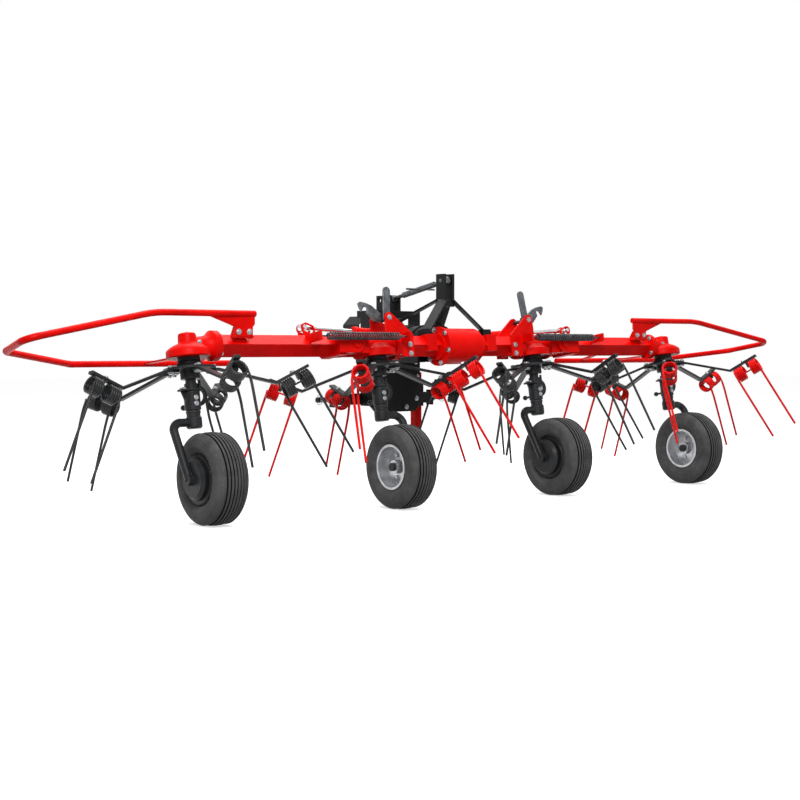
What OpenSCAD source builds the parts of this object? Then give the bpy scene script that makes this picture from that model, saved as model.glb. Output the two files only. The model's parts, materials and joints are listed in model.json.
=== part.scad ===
// Mounted four-rotor hay tedder, unfolded in its working position and parked on its wheels and leg
// Millimetres, +X to the machine's right seen from behind, +Y towards the tractor, +Z up from the ground

/* [Layout] */
// Distance between neighbouring rotor axes
rotor_pitch = 1050; // [1000:5:1120]
// Height of the beam's centre line above the ground
beam_z = 785; // [760:1:830]
// Forward lean of the beam, gearboxes and rotors in degrees
tilt = 9; // [6:0.5:11]
// Distance of the fold hinge from the middle of the machine
hinge_x = 700; // [690:1:720]

/* [Beam] */
// Side of the square tube, which stands on its edge
beam_side = 74; // [66:1:78]
// Wall of the square tube
beam_wall = 6; // [4:0.5:10]
// Radius of the bolted flanges on the beam
flange_r = 70; // [62:1:76]
// Thickness of one flange
flange_t = 14; // [10:1:18]

/* [Gearboxes] */
// Radius of the drum in the middle
drum_r = 92; // [84:1:98]
// Half length of the drum in the middle
drum_half = 125; // [110:1:140]
// Radius of a rotor gearbox's round foot
foot_r = 100; // [86:1:112]
// Height of the foot
foot_h = 36; // [28:1:44]
// Radius of the upright cap on a rotor gearbox
cap_r = 40; // [32:1:46]
// Height of the cap's top above the beam's centre line
cap_top = 58; // [54:1:70]

/* [Rotors] */
// Number of tine arms on one rotor
arm_count = 5; // [5:1:6]
// Angle of the first arm on each rotor, from left to right
rotor_phases = [46, 8, 64, 8]; // [0:1:72]
// Radius of the round plate that carries the arms
plate_r = 118; // [100:1:130]
// Thickness of the plate
plate_t = 10; // [8:1:14]
// Depth of the plate's top below the beam's centre line
plate_drop = 100; // [96:1:110]
// Radius at which an arm bends up into its tine holder
kink_r = 380; // [350:1:400]
// Drop of an arm from the plate to that bend
kink_drop = 80; // [60:1:90]
// Upward slope of the tine holder in degrees
holder_angle = 24; // [18:1:28]
// Length of the tine holder
holder_len = 168; // [150:1:190]
// Width of an arm's bar
arm_w = 30; // [22:1:40]
// Thickness of an arm's bar
arm_t = 13; // [10:1:16]

/* [Tines] */
// Diameter of the tine wire
tine_d = 9; // [7:0.5:10]
// Outer radius of a tine's coil
coil_r = 34; // [30:1:38]
// Turns in one coil
coil_turns = 5; // [4:1:6]
// Length of a tine from its coil to its tip
tine_len = 395; // [340:5:420]
// Distance from the coil's axis to the bend in a tine
tine_bend = 72; // [60:1:90]

/* [Wheels] */
// Outer diameter of a tyre
tyre_d = 410; // [380:2:440]
// Width of a tyre
tyre_w = 165; // [140:1:176]
// Seat diameter of the rim
rim_d = 203; // [190:1:220]
// Distance of a wheel's axle behind the beam
wheel_trail = 207; // [190:1:230]
// Radius of the wheel's axle
axle_r = 12; // [10:0.5:15]
// Radius of the bent tube that carries a wheel
crank_r = 19; // [16:0.5:22]
// Radius of the upright column through a rotor
column_r = 24; // [20:0.5:28]
// Depth of the column's foot below the beam's centre line
column_drop = 290; // [270:1:310]

/* [Guards] */
// Radius of the guard tubes
guard_r = 15; // [12:0.5:18]
// Height of the upper guard tube
guard_top_z = 932; // [915:1:950]
// Height of the lower guard tube
guard_low_z = 702; // [690:1:715]
// Distance of the guard's outer corner from the middle of the machine
guard_reach = 2398; // [2340:1:2450]

/* [Headstock] */
// Half width of the headstock
head_half = 170; // [150:1:180]
// Distance of the headstock ahead of the beam
head_y = 520; // [500:1:540]
// Height of the headstock's lower edge
head_low_z = 430; // [410:1:450]
// Height of the headstock's upper edge
head_top_z = 978; // [950:1:1000]
// Height of the lower link pins
link_z = 500; // [480:1:520]
// Distance between the shoulders of the lower link pins
link_span = 683; // [660:1:720]
// Radius of the lower link pins
link_pin_r = 14; // [11:0.5:18.5]
// Radius of the top link's bore
top_bore_r = 12.7; // [9.5:0.1:16]
// Height of the top of the tower
tower_top_z = 1160; // [1120:5:1200]

/* [Parking leg] */
// Distance of the parking leg from the middle of the machine
leg_x = 280; // [270:1:300]
// Distance of the parking leg ahead of the beam
leg_y = 680; // [670:1:720]
// Side of the leg's square tube
leg_side = 44; // [38:1:48]
// Length of the parking leg
leg_len = 640; // [600:5:680]

/* [Fold] */
// Radius of the hinge pins
pin_r = 15; // [12:0.5:18]
// Radius of the fold cylinder's barrel
barrel_r = 23; // [20:0.5:26]
// Radius of the cylinder's rod
rod_r = 12; // [10:0.5:15]
// Outer radius of the balance spring
spring_r = 20; // [17:0.5:23]
// Wire diameter of the balance spring
spring_wire = 5.5; // [4:0.5:7]

/* [Hidden] */
$fn = 48;
// Running gap of a pin, shaft or seat
gap = 0.3;
// Clearance between pieces that move past each other
clear = 6;
// Overrun of a cut past the face it opens
over = 2;
// Knuckles of a bent tube stand a little proud of it, as a share of its radius
knuckle_share = 1.04;

// Rotor and wheel places, counted from the left seen from behind
function rotor_x(i) = (i - 1.5) * rotor_pitch;
// Left-hand tines turn one way and right-hand tines the other
function hand(i) = i % 2 == 0 ? 1 : -1;

// Turns a point of the leaning beam frame into the ground frame, and back
function to_ground(p) = [
    p.x,
    p.y * cos(tilt) + p.z * sin(tilt),
    beam_z - p.y * sin(tilt) + p.z * cos(tilt)
];
function to_beam(p) = [
    p.x,
    p.y * cos(tilt) - (p.z - beam_z) * sin(tilt),
    p.y * sin(tilt) + (p.z - beam_z) * cos(tilt)
];

// Beam
half_diag = beam_side / sqrt(2);
box_margin = 4;
box_half = foot_r + box_margin;
inner_end = rotor_pitch / 2 - box_half;
outer_x = rotor_pitch * 1.5;
outer_box_half = 130;
outer_end = outer_x - outer_box_half;

// Fold hinge: the frame's yoke lies between the wing's cheeks
yoke_r = 46;
yoke_y = 58;
cheek_t = 14;
cheek_gap = 2;
cheek_y = yoke_y + cheek_t + cheek_gap;
cheek_r = 44;
block_x = yoke_r + clear + over * 2;
block_len = 46;
block_half = half_diag;
boot_r = 42;
pin_head_lip = 6;
pin_head_r = pin_r + pin_head_lip;
pin_head_t = 8;

// Fold cylinder, with its frame pin and its wing pin in the beam frame
cyl_y = 92;
cyl_back = 136;
cyl_low = 70;
cyl_reach = 185;
cyl_high = 105;
cyl_in = [inner_end - cyl_back, cyl_y, cyl_low];
cyl_out = [hinge_x + cyl_reach, cyl_y, cyl_high];
cyl_vec = cyl_out - cyl_in;
cyl_len = norm(cyl_vec);
cyl_rise = atan2(cyl_vec.z, cyl_vec.x);
eye_r = 19;
eye_w = 28;
fork_t = 10;
fork_gap = 2;
fork_in = cyl_y - eye_w / 2 - fork_gap;
fork_out = cyl_y + eye_w / 2 + fork_gap;
fork_half = 30;
fork_base_top = 56;
// Slot in the wing's fork, measured from the rod's pin, which floats in it while the wing folds
slot_near = [-6, -4];
slot_far = [-32, -14];
slot_r = 18;
slot_wall = 7;
fork_base_y = 20;
barrel_start = 26;
barrel_end = 302;
rod_start = barrel_end - clear;
bore_start = 24;
gland_len = 24;
gland_proud = 4;

// Balance spring behind the beam
spring_y = -120;
spring_z = 30;
spring_back = 5;
spring_reach = 235;
spring_in = inner_end - spring_back;
spring_out = hinge_x + spring_reach;
spring_hook = 38;
anchor_t = 10;
anchor_low = 8;
anchor_high = 52;
anchor_reach = 24;
anchor_root = 14;

// Latch lug on the frame and the grey hook plate in it
lug_y = 54;
lug_t = 10;
lug_ahead = 48;
lug_x = inner_end + lug_ahead;
lug_z = 134;
lug_r = 26;
lug_foot_len = 91;
lug_foot_in = inner_end - lug_foot_len;
lug_foot_low = -60;
latch_t = 12;
latch_pin_r = 9;

// Gearbox and rotor hub
foot_top = -18;
foot_low = foot_top - foot_h;
hub_r = 50;
hub_low_r = 44;
hub_low_h = 40;
arm_root = 70;
arm_bend_r = 128;

// Tine
coil_bore = coil_r - tine_d * 1.08;
coil_mid = coil_r - tine_d * 0.54;
coil_pitch = tine_d;
coil_len = coil_turns * coil_pitch;
coil_gap = 26;
groove = 2.4;
clamp_w = 22;
clamp_h = 30;

// Wheel
rim_r = rim_d / 2;
rim_half = 62;
rim_wall = 4;
rim_lip = 8;
disc_t = 8;
hub_half = 46;
wheel_hub_r = 33;
rib_depth = 9;
rib_count = 7;
rib_gap = 5;
crank_gap = 12;
crank_x = tyre_w / 2 + crank_r + crank_gap;
collar_r = 34;
collar_h = 42;
swivel_r = 31;
swivel_h = 82;
shield_r = rim_r - rim_wall - clear;
shield_edge = 14;

// Guards, given in the ground frame
guard_in_len = 318;
guard_out_len = 203;
guard_in_x = outer_x - guard_in_len;
guard_bend_x = outer_x + guard_out_len;
guard_in_y = -58;
guard_bend_y = -76;
guard_end_y = -135;
guard_end_z = 812;
guard_end = [guard_reach, guard_end_y, guard_end_z];
low_in_len = 469;
low_out_len = 379;
low_in_x = outer_x - low_in_len;
low_bend_x = outer_x + low_out_len;
low_y = 400;
low_tip_back = 34;
low_tip_y = 150;
low_tip_z = 760;
low_tip = [guard_reach - low_tip_back, low_tip_y, low_tip_z];
brace_w = 34;
brace_t = 8;

// Tower and headstock, given in the ground frame
saddle_x = 200;
saddle_half = 30;
saddle_y = 62;
arm_half = 6;
arm_below = 85;
arm_above = 55;
arm_low_z = beam_z - arm_below;
arm_top_z = beam_z + arm_above;
cross_t = 12;
tower_y = 90;
tower_cheek_x = 22;
tower_cheek_t = 12;
tower_cheek_half = 34;
tower_h = 170;
tower_neck_h = 40;
tower_pin_drop = 34;
tower_base_z = tower_top_z - tower_h;
tower_neck_z = tower_base_z + tower_neck_h;
tower_pin_z = tower_top_z - tower_pin_drop;
tower_bar_w = 54;
tower_bar_t = 10;
tower_foot_half = 26;
tower_foot_h = 34;
front_foot_y = 400;
head_plate_t = 12;
head_plate_top = 745;
head_depth = 80;
head_cap_h = 38;
clevis_h = 84;
clevis_back = 8;
clevis_reach = 112;
clevis_y0 = head_y - clevis_back;
clevis_y1 = head_y + clevis_reach;
clevis_pin_ahead = 14;
clevis_pin_rise = 65;
link_ahead = 84;
link_rise = 58;
clevis_pin = [0, head_y + clevis_pin_ahead, head_top_z + clevis_pin_rise];
link_bore = [0, head_y + link_ahead, head_top_z + link_rise];
strut_r = 16;
strut_eye_r = 22;
strut_pin_r = 10;
strut_thin_r = 10;
handle_r = 5;
handle_len = 190;
hitch_half_z = 30;
hitch_depth = 50;
shoulder_t = 12;
shoulder_half = 42;
link_pin_len = 100;
hood_half = 160;
hood_wall = 6;
hood_rise = 15;
hood_drop = 28;
hood_low_z = beam_z + hood_rise;
hood_top_z = head_top_z - hood_drop;
hood_chamfer = 46;
hood_len = 143;
tunnel_r = 142;
tunnel_wall = 6;
tunnel_drop = 33;
tunnel_z = beam_z - tunnel_drop;
tunnel_y0 = 150;
tunnel_ribs = 5;
shaft_r = 17.5;
shaft_end = 700;
boss_r = 56;
boss_end = 140;

// Parking leg
sleeve_wall = 6;
sleeve_below = 50;
sleeve_above = 80;
sleeve_low = link_z - sleeve_below;
sleeve_high = link_z + sleeve_above;
leg_foot = [130, 110, 8];

// Paints
red = [0.72, 0.06, 0.05];
black = [0.06, 0.06, 0.065];
dark = [0.17, 0.17, 0.18];
steel = [0.62, 0.63, 0.65];
rubber = [0.05, 0.05, 0.05];

// Everything that leans with the beam
module tilted() {
    translate([0, 0, beam_z]) rotate([-tilt, 0, 0]) children();
}

// The right-hand shape, or its mirror image on the left
module handed(s) {
    if (s < 0) mirror([1, 0, 0]) children();
    else children();
}

module rod_between(a, b, r) {
    v = b - a;
    translate(a) rotate([0, acos(v.z / norm(v)), atan2(v.y, v.x)]) cylinder(r = r, h = norm(v));
}

module pipe(points, r) {
    for (i = [0 : len(points) - 2]) rod_between(points[i], points[i + 1], r);
    if (len(points) > 2)
        for (i = [1 : len(points) - 2]) translate(points[i]) sphere(r = r * knuckle_share);
}

// Tube with smooth bends of radius bend_r, a little thicker than the straight tube that reaches into them
function unit(v) = v / norm(v);
// Length of straight tube that a bend takes away at point i
function trim(p, i, bend_r) = i == 0 || i == len(p) - 1 ? 0 : bend_r * tan(turn(p, i) / 2);
function turn(p, i) = acos(unit(p[i] - p[i - 1]) * unit(p[i + 1] - p[i]));
// Angles for rotate() that bring X to u and Z to w
function aim(u, w) = let (v = cross(w, u)) [atan2(v.z, w.z), -asin(u.z), atan2(u.y, u.x)];

module bent_tube(p, r, bend_r) {
    for (i = [0 : len(p) - 2]) {
        along = unit(p[i + 1] - p[i]);
        from = i == 0 ? 0 : trim(p, i, bend_r) - over;
        to = i == len(p) - 2 ? 0 : trim(p, i + 1, bend_r) - over;
        rod_between(p[i] + from * along, p[i + 1] - to * along, r);
    }
    if (len(p) > 2) for (i = [1 : len(p) - 2]) {
        a = unit(p[i - 1] - p[i]);
        b = unit(p[i + 1] - p[i]);
        centre = p[i] + unit(a + b) * bend_r / cos(turn(p, i) / 2);
        u = unit(p[i] + trim(p, i, bend_r) * a - centre);
        translate(centre) rotate(aim(u, unit(cross(u, -a))))
            rotate_extrude(angle = turn(p, i)) translate([bend_r, 0]) circle(r = r * knuckle_share);
    }
}

module along_x(x0, x1, r) {
    translate([x0, 0, 0]) rotate([0, 90, 0]) cylinder(r = r, h = x1 - x0);
}

module along_y(y0, y1, r) {
    translate([0, y0, 0]) rotate([-90, 0, 0]) cylinder(r = r, h = y1 - y0);
}

module block(a, b) {
    translate(a) cube(b - a);
}

// Flat bar between two points, its width across the line and level
module bar(a, b, w, t) {
    v = b - a;
    translate(a) rotate([0, acos(v.z / norm(v)), atan2(v.y, v.x)])
        translate([-t / 2, -w / 2, 0]) cube([t, w, norm(v)]);
}

// A flat shape drawn in X and Z, given a thickness along Y from y0
module plate_xz(y0, t) {
    translate([0, y0 + t, 0]) rotate([90, 0, 0]) linear_extrude(height = t) children();
}

// A flat shape drawn in Y and Z, given a thickness along X from x0
module plate_yz(x0, t) {
    translate([x0, 0, 0]) rotate([90, 0, 90]) linear_extrude(height = t) children();
}

// Outline of a bent strip with mitred corners
function normal(p, i) = [-unit(p[i + 1] - p[i]).y, unit(p[i + 1] - p[i]).x];
function mitre(p, i) =
    i == 0 ? normal(p, 0) :
    i == len(p) - 1 ? normal(p, i - 1) :
    (normal(p, i - 1) + normal(p, i)) / (1 + normal(p, i - 1) * normal(p, i));
function strip(p, half) = concat(
    [for (i = [0 : len(p) - 1]) p[i] + half * mitre(p, i)],
    [for (i = [len(p) - 1 : -1 : 0]) p[i] - half * mitre(p, i)]
);

// Square tube on its edge, from x0 to x1
module edge_tube(x0, x1) {
    translate([x0, 0, 0]) rotate([0, 90, 0]) linear_extrude(height = x1 - x0) rotate(45) difference() {
        square(beam_side, center = true);
        square(beam_side - 2 * beam_wall, center = true);
    }
}

// Rotor: hub, plate and bent arms
arm_bite = 2;
arm_z = -plate_drop - plate_t - arm_t / 2 + arm_bite;
holder_dir = [cos(holder_angle), sin(holder_angle)];
kink = [kink_r, arm_z - kink_drop];
arm_line = [[arm_root, arm_z], [arm_bend_r, arm_z], kink, kink + holder_len * holder_dir];
coil_margin = 4;
coil_out_s = holder_len - coil_margin - coil_len;
coil_in_s = coil_out_s - coil_gap - coil_len;
coil_n = -arm_t / 2 - gap - coil_r;
clamp_s = coil_out_s - coil_gap / 2;

// Frame of a tine holder: X out along it, Y along the turn, Z square to it
module at_holder(k, i) {
    rotate(rotor_phases[i] + k * 360 / arm_count)
        translate([kink.x, 0, kink.y]) rotate([0, -holder_angle, 0]) children();
}

module rotor_arms(i) color(dark) tilted() translate([rotor_x(i), 0, 0]) {
    plate_low = -plate_drop - plate_t;
    hub_bottom = plate_low - hub_low_h;
    difference() {
        union() {
            translate([0, 0, plate_low]) cylinder(r = hub_r, h = foot_low - plate_low - gap);
            translate([0, 0, plate_low]) cylinder(r = plate_r, h = plate_t);
            translate([0, 0, hub_bottom]) cylinder(r = hub_low_r, h = hub_low_h + over);
        }
        translate([0, 0, hub_bottom - over]) cylinder(r = column_r + gap, h = foot_low - hub_bottom + over);
    }
    for (k = [0 : arm_count - 1]) {
        rotate(rotor_phases[i] + k * 360 / arm_count)
            plate_xz(-arm_w / 2, arm_w) polygon(strip(arm_line, arm_t / 2));
        at_holder(k, i) translate([clamp_s - clamp_w / 2, -arm_w / 2, -arm_t / 2 - clamp_h])
            cube([clamp_w, arm_w, clamp_h + arm_t / 2]);
    }
}

// One coil, its windings drawn as a row of ridges
coil_outline = concat(
    [[coil_bore, 0], [coil_r - groove, 0]],
    [for (k = [0 : coil_turns * 2 - 2]) [k % 2 == 0 ? coil_r : coil_r - groove, (k + 1) * coil_pitch / 2]],
    [[coil_r - groove, coil_len], [coil_bore, coil_len]]
);
wire_inset = tine_d * 0.56;
tip_lean = 5;

module tines(i) color(hand(i) > 0 ? black : red) tilted() translate([rotor_x(i), 0, 0]) {
    h = hand(i);
    wire = tine_d / 2;
    for (k = [0 : arm_count - 1]) at_holder(k, i) {
        for (s = [coil_in_s, coil_out_s])
            translate([s, 0, coil_n]) rotate([0, 90, 0]) rotate_extrude() polygon(coil_outline);
        rod_between(
            [coil_in_s + coil_len - tine_d, -h * coil_mid, coil_n],
            [coil_out_s + tine_d, -h * coil_mid, coil_n], wire);
        for (s = [coil_in_s + wire_inset, coil_out_s + coil_len - wire_inset]) pipe([
            [s, h * coil_mid, coil_n],
            [s, h * coil_mid, coil_n - tine_bend],
            [s, h * tip_lean, coil_n - tine_len]
        ], wire);
    }
}

// Upright column through the rotor, with the swivel's collar
knob_r = 13;
knob_rod_r = 6;
knob_len = 84;

module column(i) color(dark) tilted() translate([rotor_x(i), 0, 0]) {
    translate([0, 0, -column_drop]) cylinder(r = column_r, h = column_drop + foot_low);
    translate([0, 0, -column_drop]) cylinder(r = collar_r, h = collar_h);
    translate([0, 0, -column_drop + collar_h / 2]) {
        along_y(0, knob_len, knob_rod_r);
        translate([0, knob_len, 0]) sphere(r = knob_r);
    }
}

// Wheel centre in the beam frame, measured from the rotor's axis
wheel_at = to_beam([0, -wheel_trail, tyre_d / 2]);
crank_z = -column_drop - swivel_h * 0.66;
axle_nut = 14;
axle_end = hub_half + gap + axle_nut;
nut_r = 20;
crank_bend = 2.4 * crank_r;
shield_in = hub_half + over * 2;
shield_out = crank_x - crank_r * 0.6;

module crank(i) color(dark) tilted() translate([rotor_x(i), 0, 0]) handed(-hand(i)) {
    translate([0, 0, -column_drop - swivel_h]) cylinder(r = swivel_r, h = swivel_h - gap);
    bent_tube([
        [0, 0, crank_z],
        [crank_x, 0, crank_z],
        [crank_x, wheel_at.y, wheel_at.z]
    ], crank_r, crank_bend);
    translate(wheel_at) {
        along_x(-axle_end, crank_x, axle_r);
        along_x(-axle_end, -hub_half - gap - over, nut_r);
        // Domed shield that fills the rim on this side
        along_x(shield_in, shield_out - shield_edge, shield_r);
        translate([shield_out - shield_edge, 0, 0]) rotate([0, 90, 0])
            cylinder(r1 = shield_r, r2 = shield_r - shield_edge, h = shield_edge);
        along_x(shield_in, crank_x + crank_r * 0.7, crank_r * 1.3);
    }
}

// Rolls a wheel's outline, drawn as radius and place along the axle, about the axle
module rolled(i) {
    translate([rotor_x(i), -wheel_trail, tyre_d / 2]) rotate([0, 90, 0]) rotate_extrude() children();
}

module rim(i) color(steel) rolled(i) {
    m = -hand(i);
    barrel_in = rim_r - rim_wall;
    polygon([
        [barrel_in, -rim_half - rim_wall], [rim_r + rim_lip, -rim_half - rim_wall],
        [rim_r + rim_lip, -rim_half], [rim_r, -rim_half], [rim_r, rim_half],
        [rim_r + rim_lip, rim_half], [rim_r + rim_lip, rim_half + rim_wall], [barrel_in, rim_half + rim_wall],
        [barrel_in, m * disc_t / 2 + disc_t / 2], [wheel_hub_r, -m * disc_t + disc_t / 2],
        [wheel_hub_r, hub_half], [axle_r + gap, hub_half],
        [axle_r + gap, -hub_half], [wheel_hub_r, -hub_half],
        [wheel_hub_r, -m * disc_t - disc_t / 2], [barrel_in, m * disc_t / 2 - disc_t / 2]
    ]);
}

// Tyre outline: bead, bulging wall, shoulder and ribbed tread, as shares of height and half width
tyre_r = tyre_d / 2;
tyre_seat = rim_r + gap;
tyre_high = tyre_r - tyre_seat;
wall_shares = [
    [0, 0.72], [0.09, 0.72], [0.16, 0.83], [0.3, 0.95], [0.47, 1],
    [0.64, 0.99], [0.79, 0.94], [0.9, 0.84], [0.97, 0.7]
];
tread_half = tyre_w / 2 * 0.62;
rib_pitch = 2 * tread_half / rib_count;
wall_side = [for (p = wall_shares) [tyre_seat + p.x * tyre_high, p.y * tyre_w / 2]];
tread_line = [for (k = [0 : rib_count - 1]) each [
    [tyre_r, tread_half - k * rib_pitch - (k == 0 ? 0 : rib_gap / 2)],
    [tyre_r, tread_half - (k + 1) * rib_pitch + (k == rib_count - 1 ? 0 : rib_gap / 2)],
    if (k < rib_count - 1) [tyre_r - rib_depth, tread_half - (k + 1) * rib_pitch + rib_gap / 3],
    if (k < rib_count - 1) [tyre_r - rib_depth, tread_half - (k + 1) * rib_pitch - rib_gap / 3]
]];
wall_back = [for (k = [len(wall_side) - 1 : -1 : 0]) [wall_side[k].x, -wall_side[k].y]];

module tyre(i) color(rubber) rolled(i) {
    polygon(concat(wall_side, tread_line, wall_back));
}

// Gearboxes
body_r = 48;
skirt_r = 62;
skirt_h = 26;
cap_edge = 8;
end_cover_r = 58;
end_cover_x = 64;
end_cover_t = 12;

// Foot, skirt and cap shared by every rotor gearbox, about the rotor's axis
module gear_housing() {
    translate([0, 0, foot_low]) cylinder(r = foot_r, h = foot_h);
    translate([0, 0, foot_top]) cylinder(r1 = foot_r - cap_edge, r2 = skirt_r, h = skirt_h);
    cylinder(r = cap_r, h = cap_top - cap_edge);
    translate([0, 0, cap_top - cap_edge]) cylinder(r1 = cap_r, r2 = cap_r - cap_edge, h = cap_edge);
}

// Inner gearbox with the fold hinge's yoke and pins, right-hand shape
module gearbox_inner(s) color(red) tilted() handed(s) {
    at = rotor_pitch / 2;
    yoke_root = at + box_half - flange_t;
    translate([at, 0, 0]) gear_housing();
    along_x(inner_end, at + box_half, body_r);
    along_x(inner_end, inner_end + flange_t, flange_r);
    along_x(yoke_root, yoke_root + flange_t, flange_r);
    along_x(at, hinge_x, boot_r - over);
    translate([hinge_x, 0, 0]) along_y(-yoke_y - over, yoke_y + over, boot_r);
    for (m = [-1, 1]) handed_y(m) {
        block([yoke_root, yoke_y, -cheek_r], [hinge_x, yoke_y + cheek_t, cheek_r]);
        translate([hinge_x, 0, 0]) {
            along_y(yoke_y, yoke_y + cheek_t, yoke_r);
            along_y(yoke_y, cheek_y + cheek_t + cheek_gap, pin_r);
            along_y(cheek_y + cheek_t + cheek_gap / 2, cheek_y + cheek_t + pin_head_t, pin_head_r);
        }
    }
}

module handed_y(s) {
    if (s < 0) mirror([0, 1, 0]) children();
    else children();
}

// Outer gearbox at the end of a wing
module gearbox_outer(s) color(red) tilted() handed(s) {
    translate([outer_x, 0, 0]) gear_housing();
    along_x(outer_end, outer_x + end_cover_x, body_r);
    along_x(outer_end, outer_end + flange_t, flange_r);
    along_x(outer_x + end_cover_x - over, outer_x + end_cover_x + end_cover_t, end_cover_r);
}

// Drum in the middle, with the drive's boss and its shaft towards the tractor
drum_edge = 16;
drum_ring = 8;
module gearbox_center() color(red) {
    tilted() {
        along_x(-drum_half, drum_half - drum_edge, drum_r);
        along_x(-drum_half, -drum_half + flange_t, drum_r + drum_ring);
        translate([drum_half - drum_edge, 0, 0]) rotate([0, 90, 0])
            cylinder(r1 = drum_r, r2 = drum_r - drum_edge, h = drum_edge);
    }
    translate([0, 0, beam_z]) {
        along_y(0, boss_end, boss_r);
        along_y(0, shaft_end, shaft_r);
    }
}

// Middle of the beam: two tubes with flanges, saddles, lugs and anchors
saddle_low = -30;
lug_outline = [
    [lug_foot_in, lug_foot_low], [inner_end - flange_t - over, lug_foot_low],
    [inner_end - flange_t - over, flange_r - over * 5], [lug_x + lug_r * 0.8, lug_z - lug_r * 0.6],
    [lug_x - lug_r * 0.6, lug_z + lug_r * 0.8], [lug_foot_in, half_diag]
];
lug_tie_r = 9;
lug_tie_back = 24;
lug_tie_in = lug_foot_in + lug_tie_back;
cyl_block_low = 10;
cyl_block_top = 45;

module center_half() {
    edge_tube(drum_half, inner_end);
    along_x(drum_half, drum_half + flange_t, flange_r);
    along_x(inner_end - flange_t, inner_end, flange_r);
    // Saddle that carries the tower and the headstock's side arms
    block([saddle_x - saddle_half, -half_diag - over, saddle_low],
        [saddle_x + saddle_half, half_diag + over, half_diag + over]);
    // Lug plates of the latch, tied by bolts through the space under and over the tube
    for (y = [-lug_y - lug_t, lug_y]) plate_xz(y, lug_t) {
        polygon(lug_outline);
        translate([lug_x, lug_z]) circle(r = lug_r);
    }
    translate([lug_tie_in, 0, lug_foot_low + lug_tie_r * 1.6])
        along_y(-lug_y - lug_t, lug_y + lug_t, lug_tie_r);
    translate([lug_tie_in, 0, 0]) along_y(-lug_y - over, lug_y + over, lug_tie_r * 2);
    // Fork of the fold cylinder
    block([cyl_in.x - fork_half, fork_base_y, cyl_block_low],
        [cyl_in.x + fork_half, fork_out + fork_t, cyl_block_top]);
    for (y = [fork_in - fork_t, fork_out]) difference() {
        plate_xz(y, fork_t) {
            translate([cyl_in.x - eye_r, cyl_block_low]) square([2 * eye_r, cyl_in.z - cyl_block_low]);
            translate([cyl_in.x, cyl_in.z]) circle(r = eye_r);
        }
        translate(cyl_in) along_y(-cyl_y, cyl_y, cyl_pin_r + gap);
    }
    // Anchor of the balance spring
    block([spring_in - anchor_t - over, spring_y - anchor_reach, anchor_low],
        [spring_in - over, -lug_y, anchor_high]);
}

cyl_pin_r = 10;

module center_frame() color(red) tilted() {
    center_half();
    mirror([1, 0, 0]) center_half();
}

// Grey hook plate pinned between the lug plates
latch_rise = 134;
latch_back = -33;
hook_x = 138;
hook_z = 62;
latch_w = 20;
hook_shares = [[0, 0], [0.3, 0.75], [0.7, 1], [0.95, 0.7]];
hook_line = [for (p = hook_shares) [p.x * hook_x, p.y * hook_z]];

module latch(s) color(steel) tilted() handed(s) translate([lug_x, 0, lug_z]) {
    plate_xz(-latch_t / 2, latch_t) {
        circle(r = lug_r - over);
        polygon(strip([[0, 0], [latch_back, latch_rise]], latch_w / 2));
        translate([latch_back, latch_rise]) circle(r = latch_w * 0.62);
        polygon(strip(hook_line, latch_w / 2));
        translate(hook_line[len(hook_line) - 1]) circle(r = latch_w * 0.56);
    }
    along_y(-lug_y + gap, lug_y - gap, latch_pin_r);
}

// Long hole of the wing's fork, or its outline where w is the wall round it
module fork_slot(w) {
    translate([cyl_out.x, cyl_out.z]) {
        for (p = [slot_near, slot_far]) translate(p) circle(r = slot_r + w);
        polygon(strip([slot_near, slot_far], slot_r + w - gap));
    }
}

// Wing beam: hinge cheeks, block, tube, flange and the wing's ends of cylinder and spring
module wing_beam(s) color(red) tilted() handed(s) {
    block_in = hinge_x + block_x;
    block_out = block_in + block_len;
    fork_x = [cyl_out.x + slot_far.x - slot_r, cyl_out.x + slot_near.x + slot_r];
    difference() {
        union() {
            for (m = [-1, 1]) handed_y(m) {
                block([hinge_x, cheek_y, -cheek_r], [block_out, cheek_y + cheek_t, cheek_r]);
                translate([hinge_x, 0, 0]) along_y(cheek_y, cheek_y + cheek_t, cheek_r);
            }
            block([block_in, -cheek_y - over, -block_half], [block_out, cheek_y + over, block_half]);
            edge_tube(block_out - over, outer_end);
            along_x(outer_end - flange_t, outer_end, flange_r);
            // Fork of the fold cylinder
            block([fork_x[0] - over, fork_base_y, 0], [fork_x[1] + over, fork_out + fork_t, fork_base_top]);
            for (y = [fork_in - fork_t, fork_out]) plate_xz(y, fork_t) {
                fork_slot(slot_wall);
                polygon([
                    [fork_x[0], 0], [fork_x[1], 0],
                    [fork_x[1], cyl_out.z + slot_near.y], [fork_x[0], cyl_out.z + slot_far.y]
                ]);
            }
            // Anchor of the balance spring
            block([spring_out + over, spring_y - anchor_reach, anchor_low],
                [spring_out + anchor_t + over, -anchor_root, anchor_high]);
        }
        translate([hinge_x, 0, 0])
            along_y(-cheek_y - cheek_t - over, cheek_y + cheek_t + over, pin_r + gap);
        plate_xz(fork_in - fork_t - over, fork_out - fork_in + 2 * (fork_t + over)) fork_slot(0);
    }
}

// Fold cylinder: barrel with its frame eye, and the rod with its wing eye
module at_cylinder(s) {
    tilted() handed(s) translate(cyl_in) rotate([0, -cyl_rise, 0]) children();
}

module barrel(s) color(red) at_cylinder(s) {
    difference() {
        union() {
            along_y(-eye_w / 2, eye_w / 2, eye_r);
            along_x(0, barrel_start + over, eye_w / 2 - over);
            along_x(barrel_start, barrel_end, barrel_r);
            along_x(barrel_end - gland_len, barrel_end - gland_proud, barrel_r + gland_proud);
        }
        along_x(bore_start, barrel_end + over, rod_r + gap);
    }
    along_y(-eye_w / 2 - fork_gap - fork_t, eye_w / 2 + fork_gap + fork_t, cyl_pin_r);
}

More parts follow.
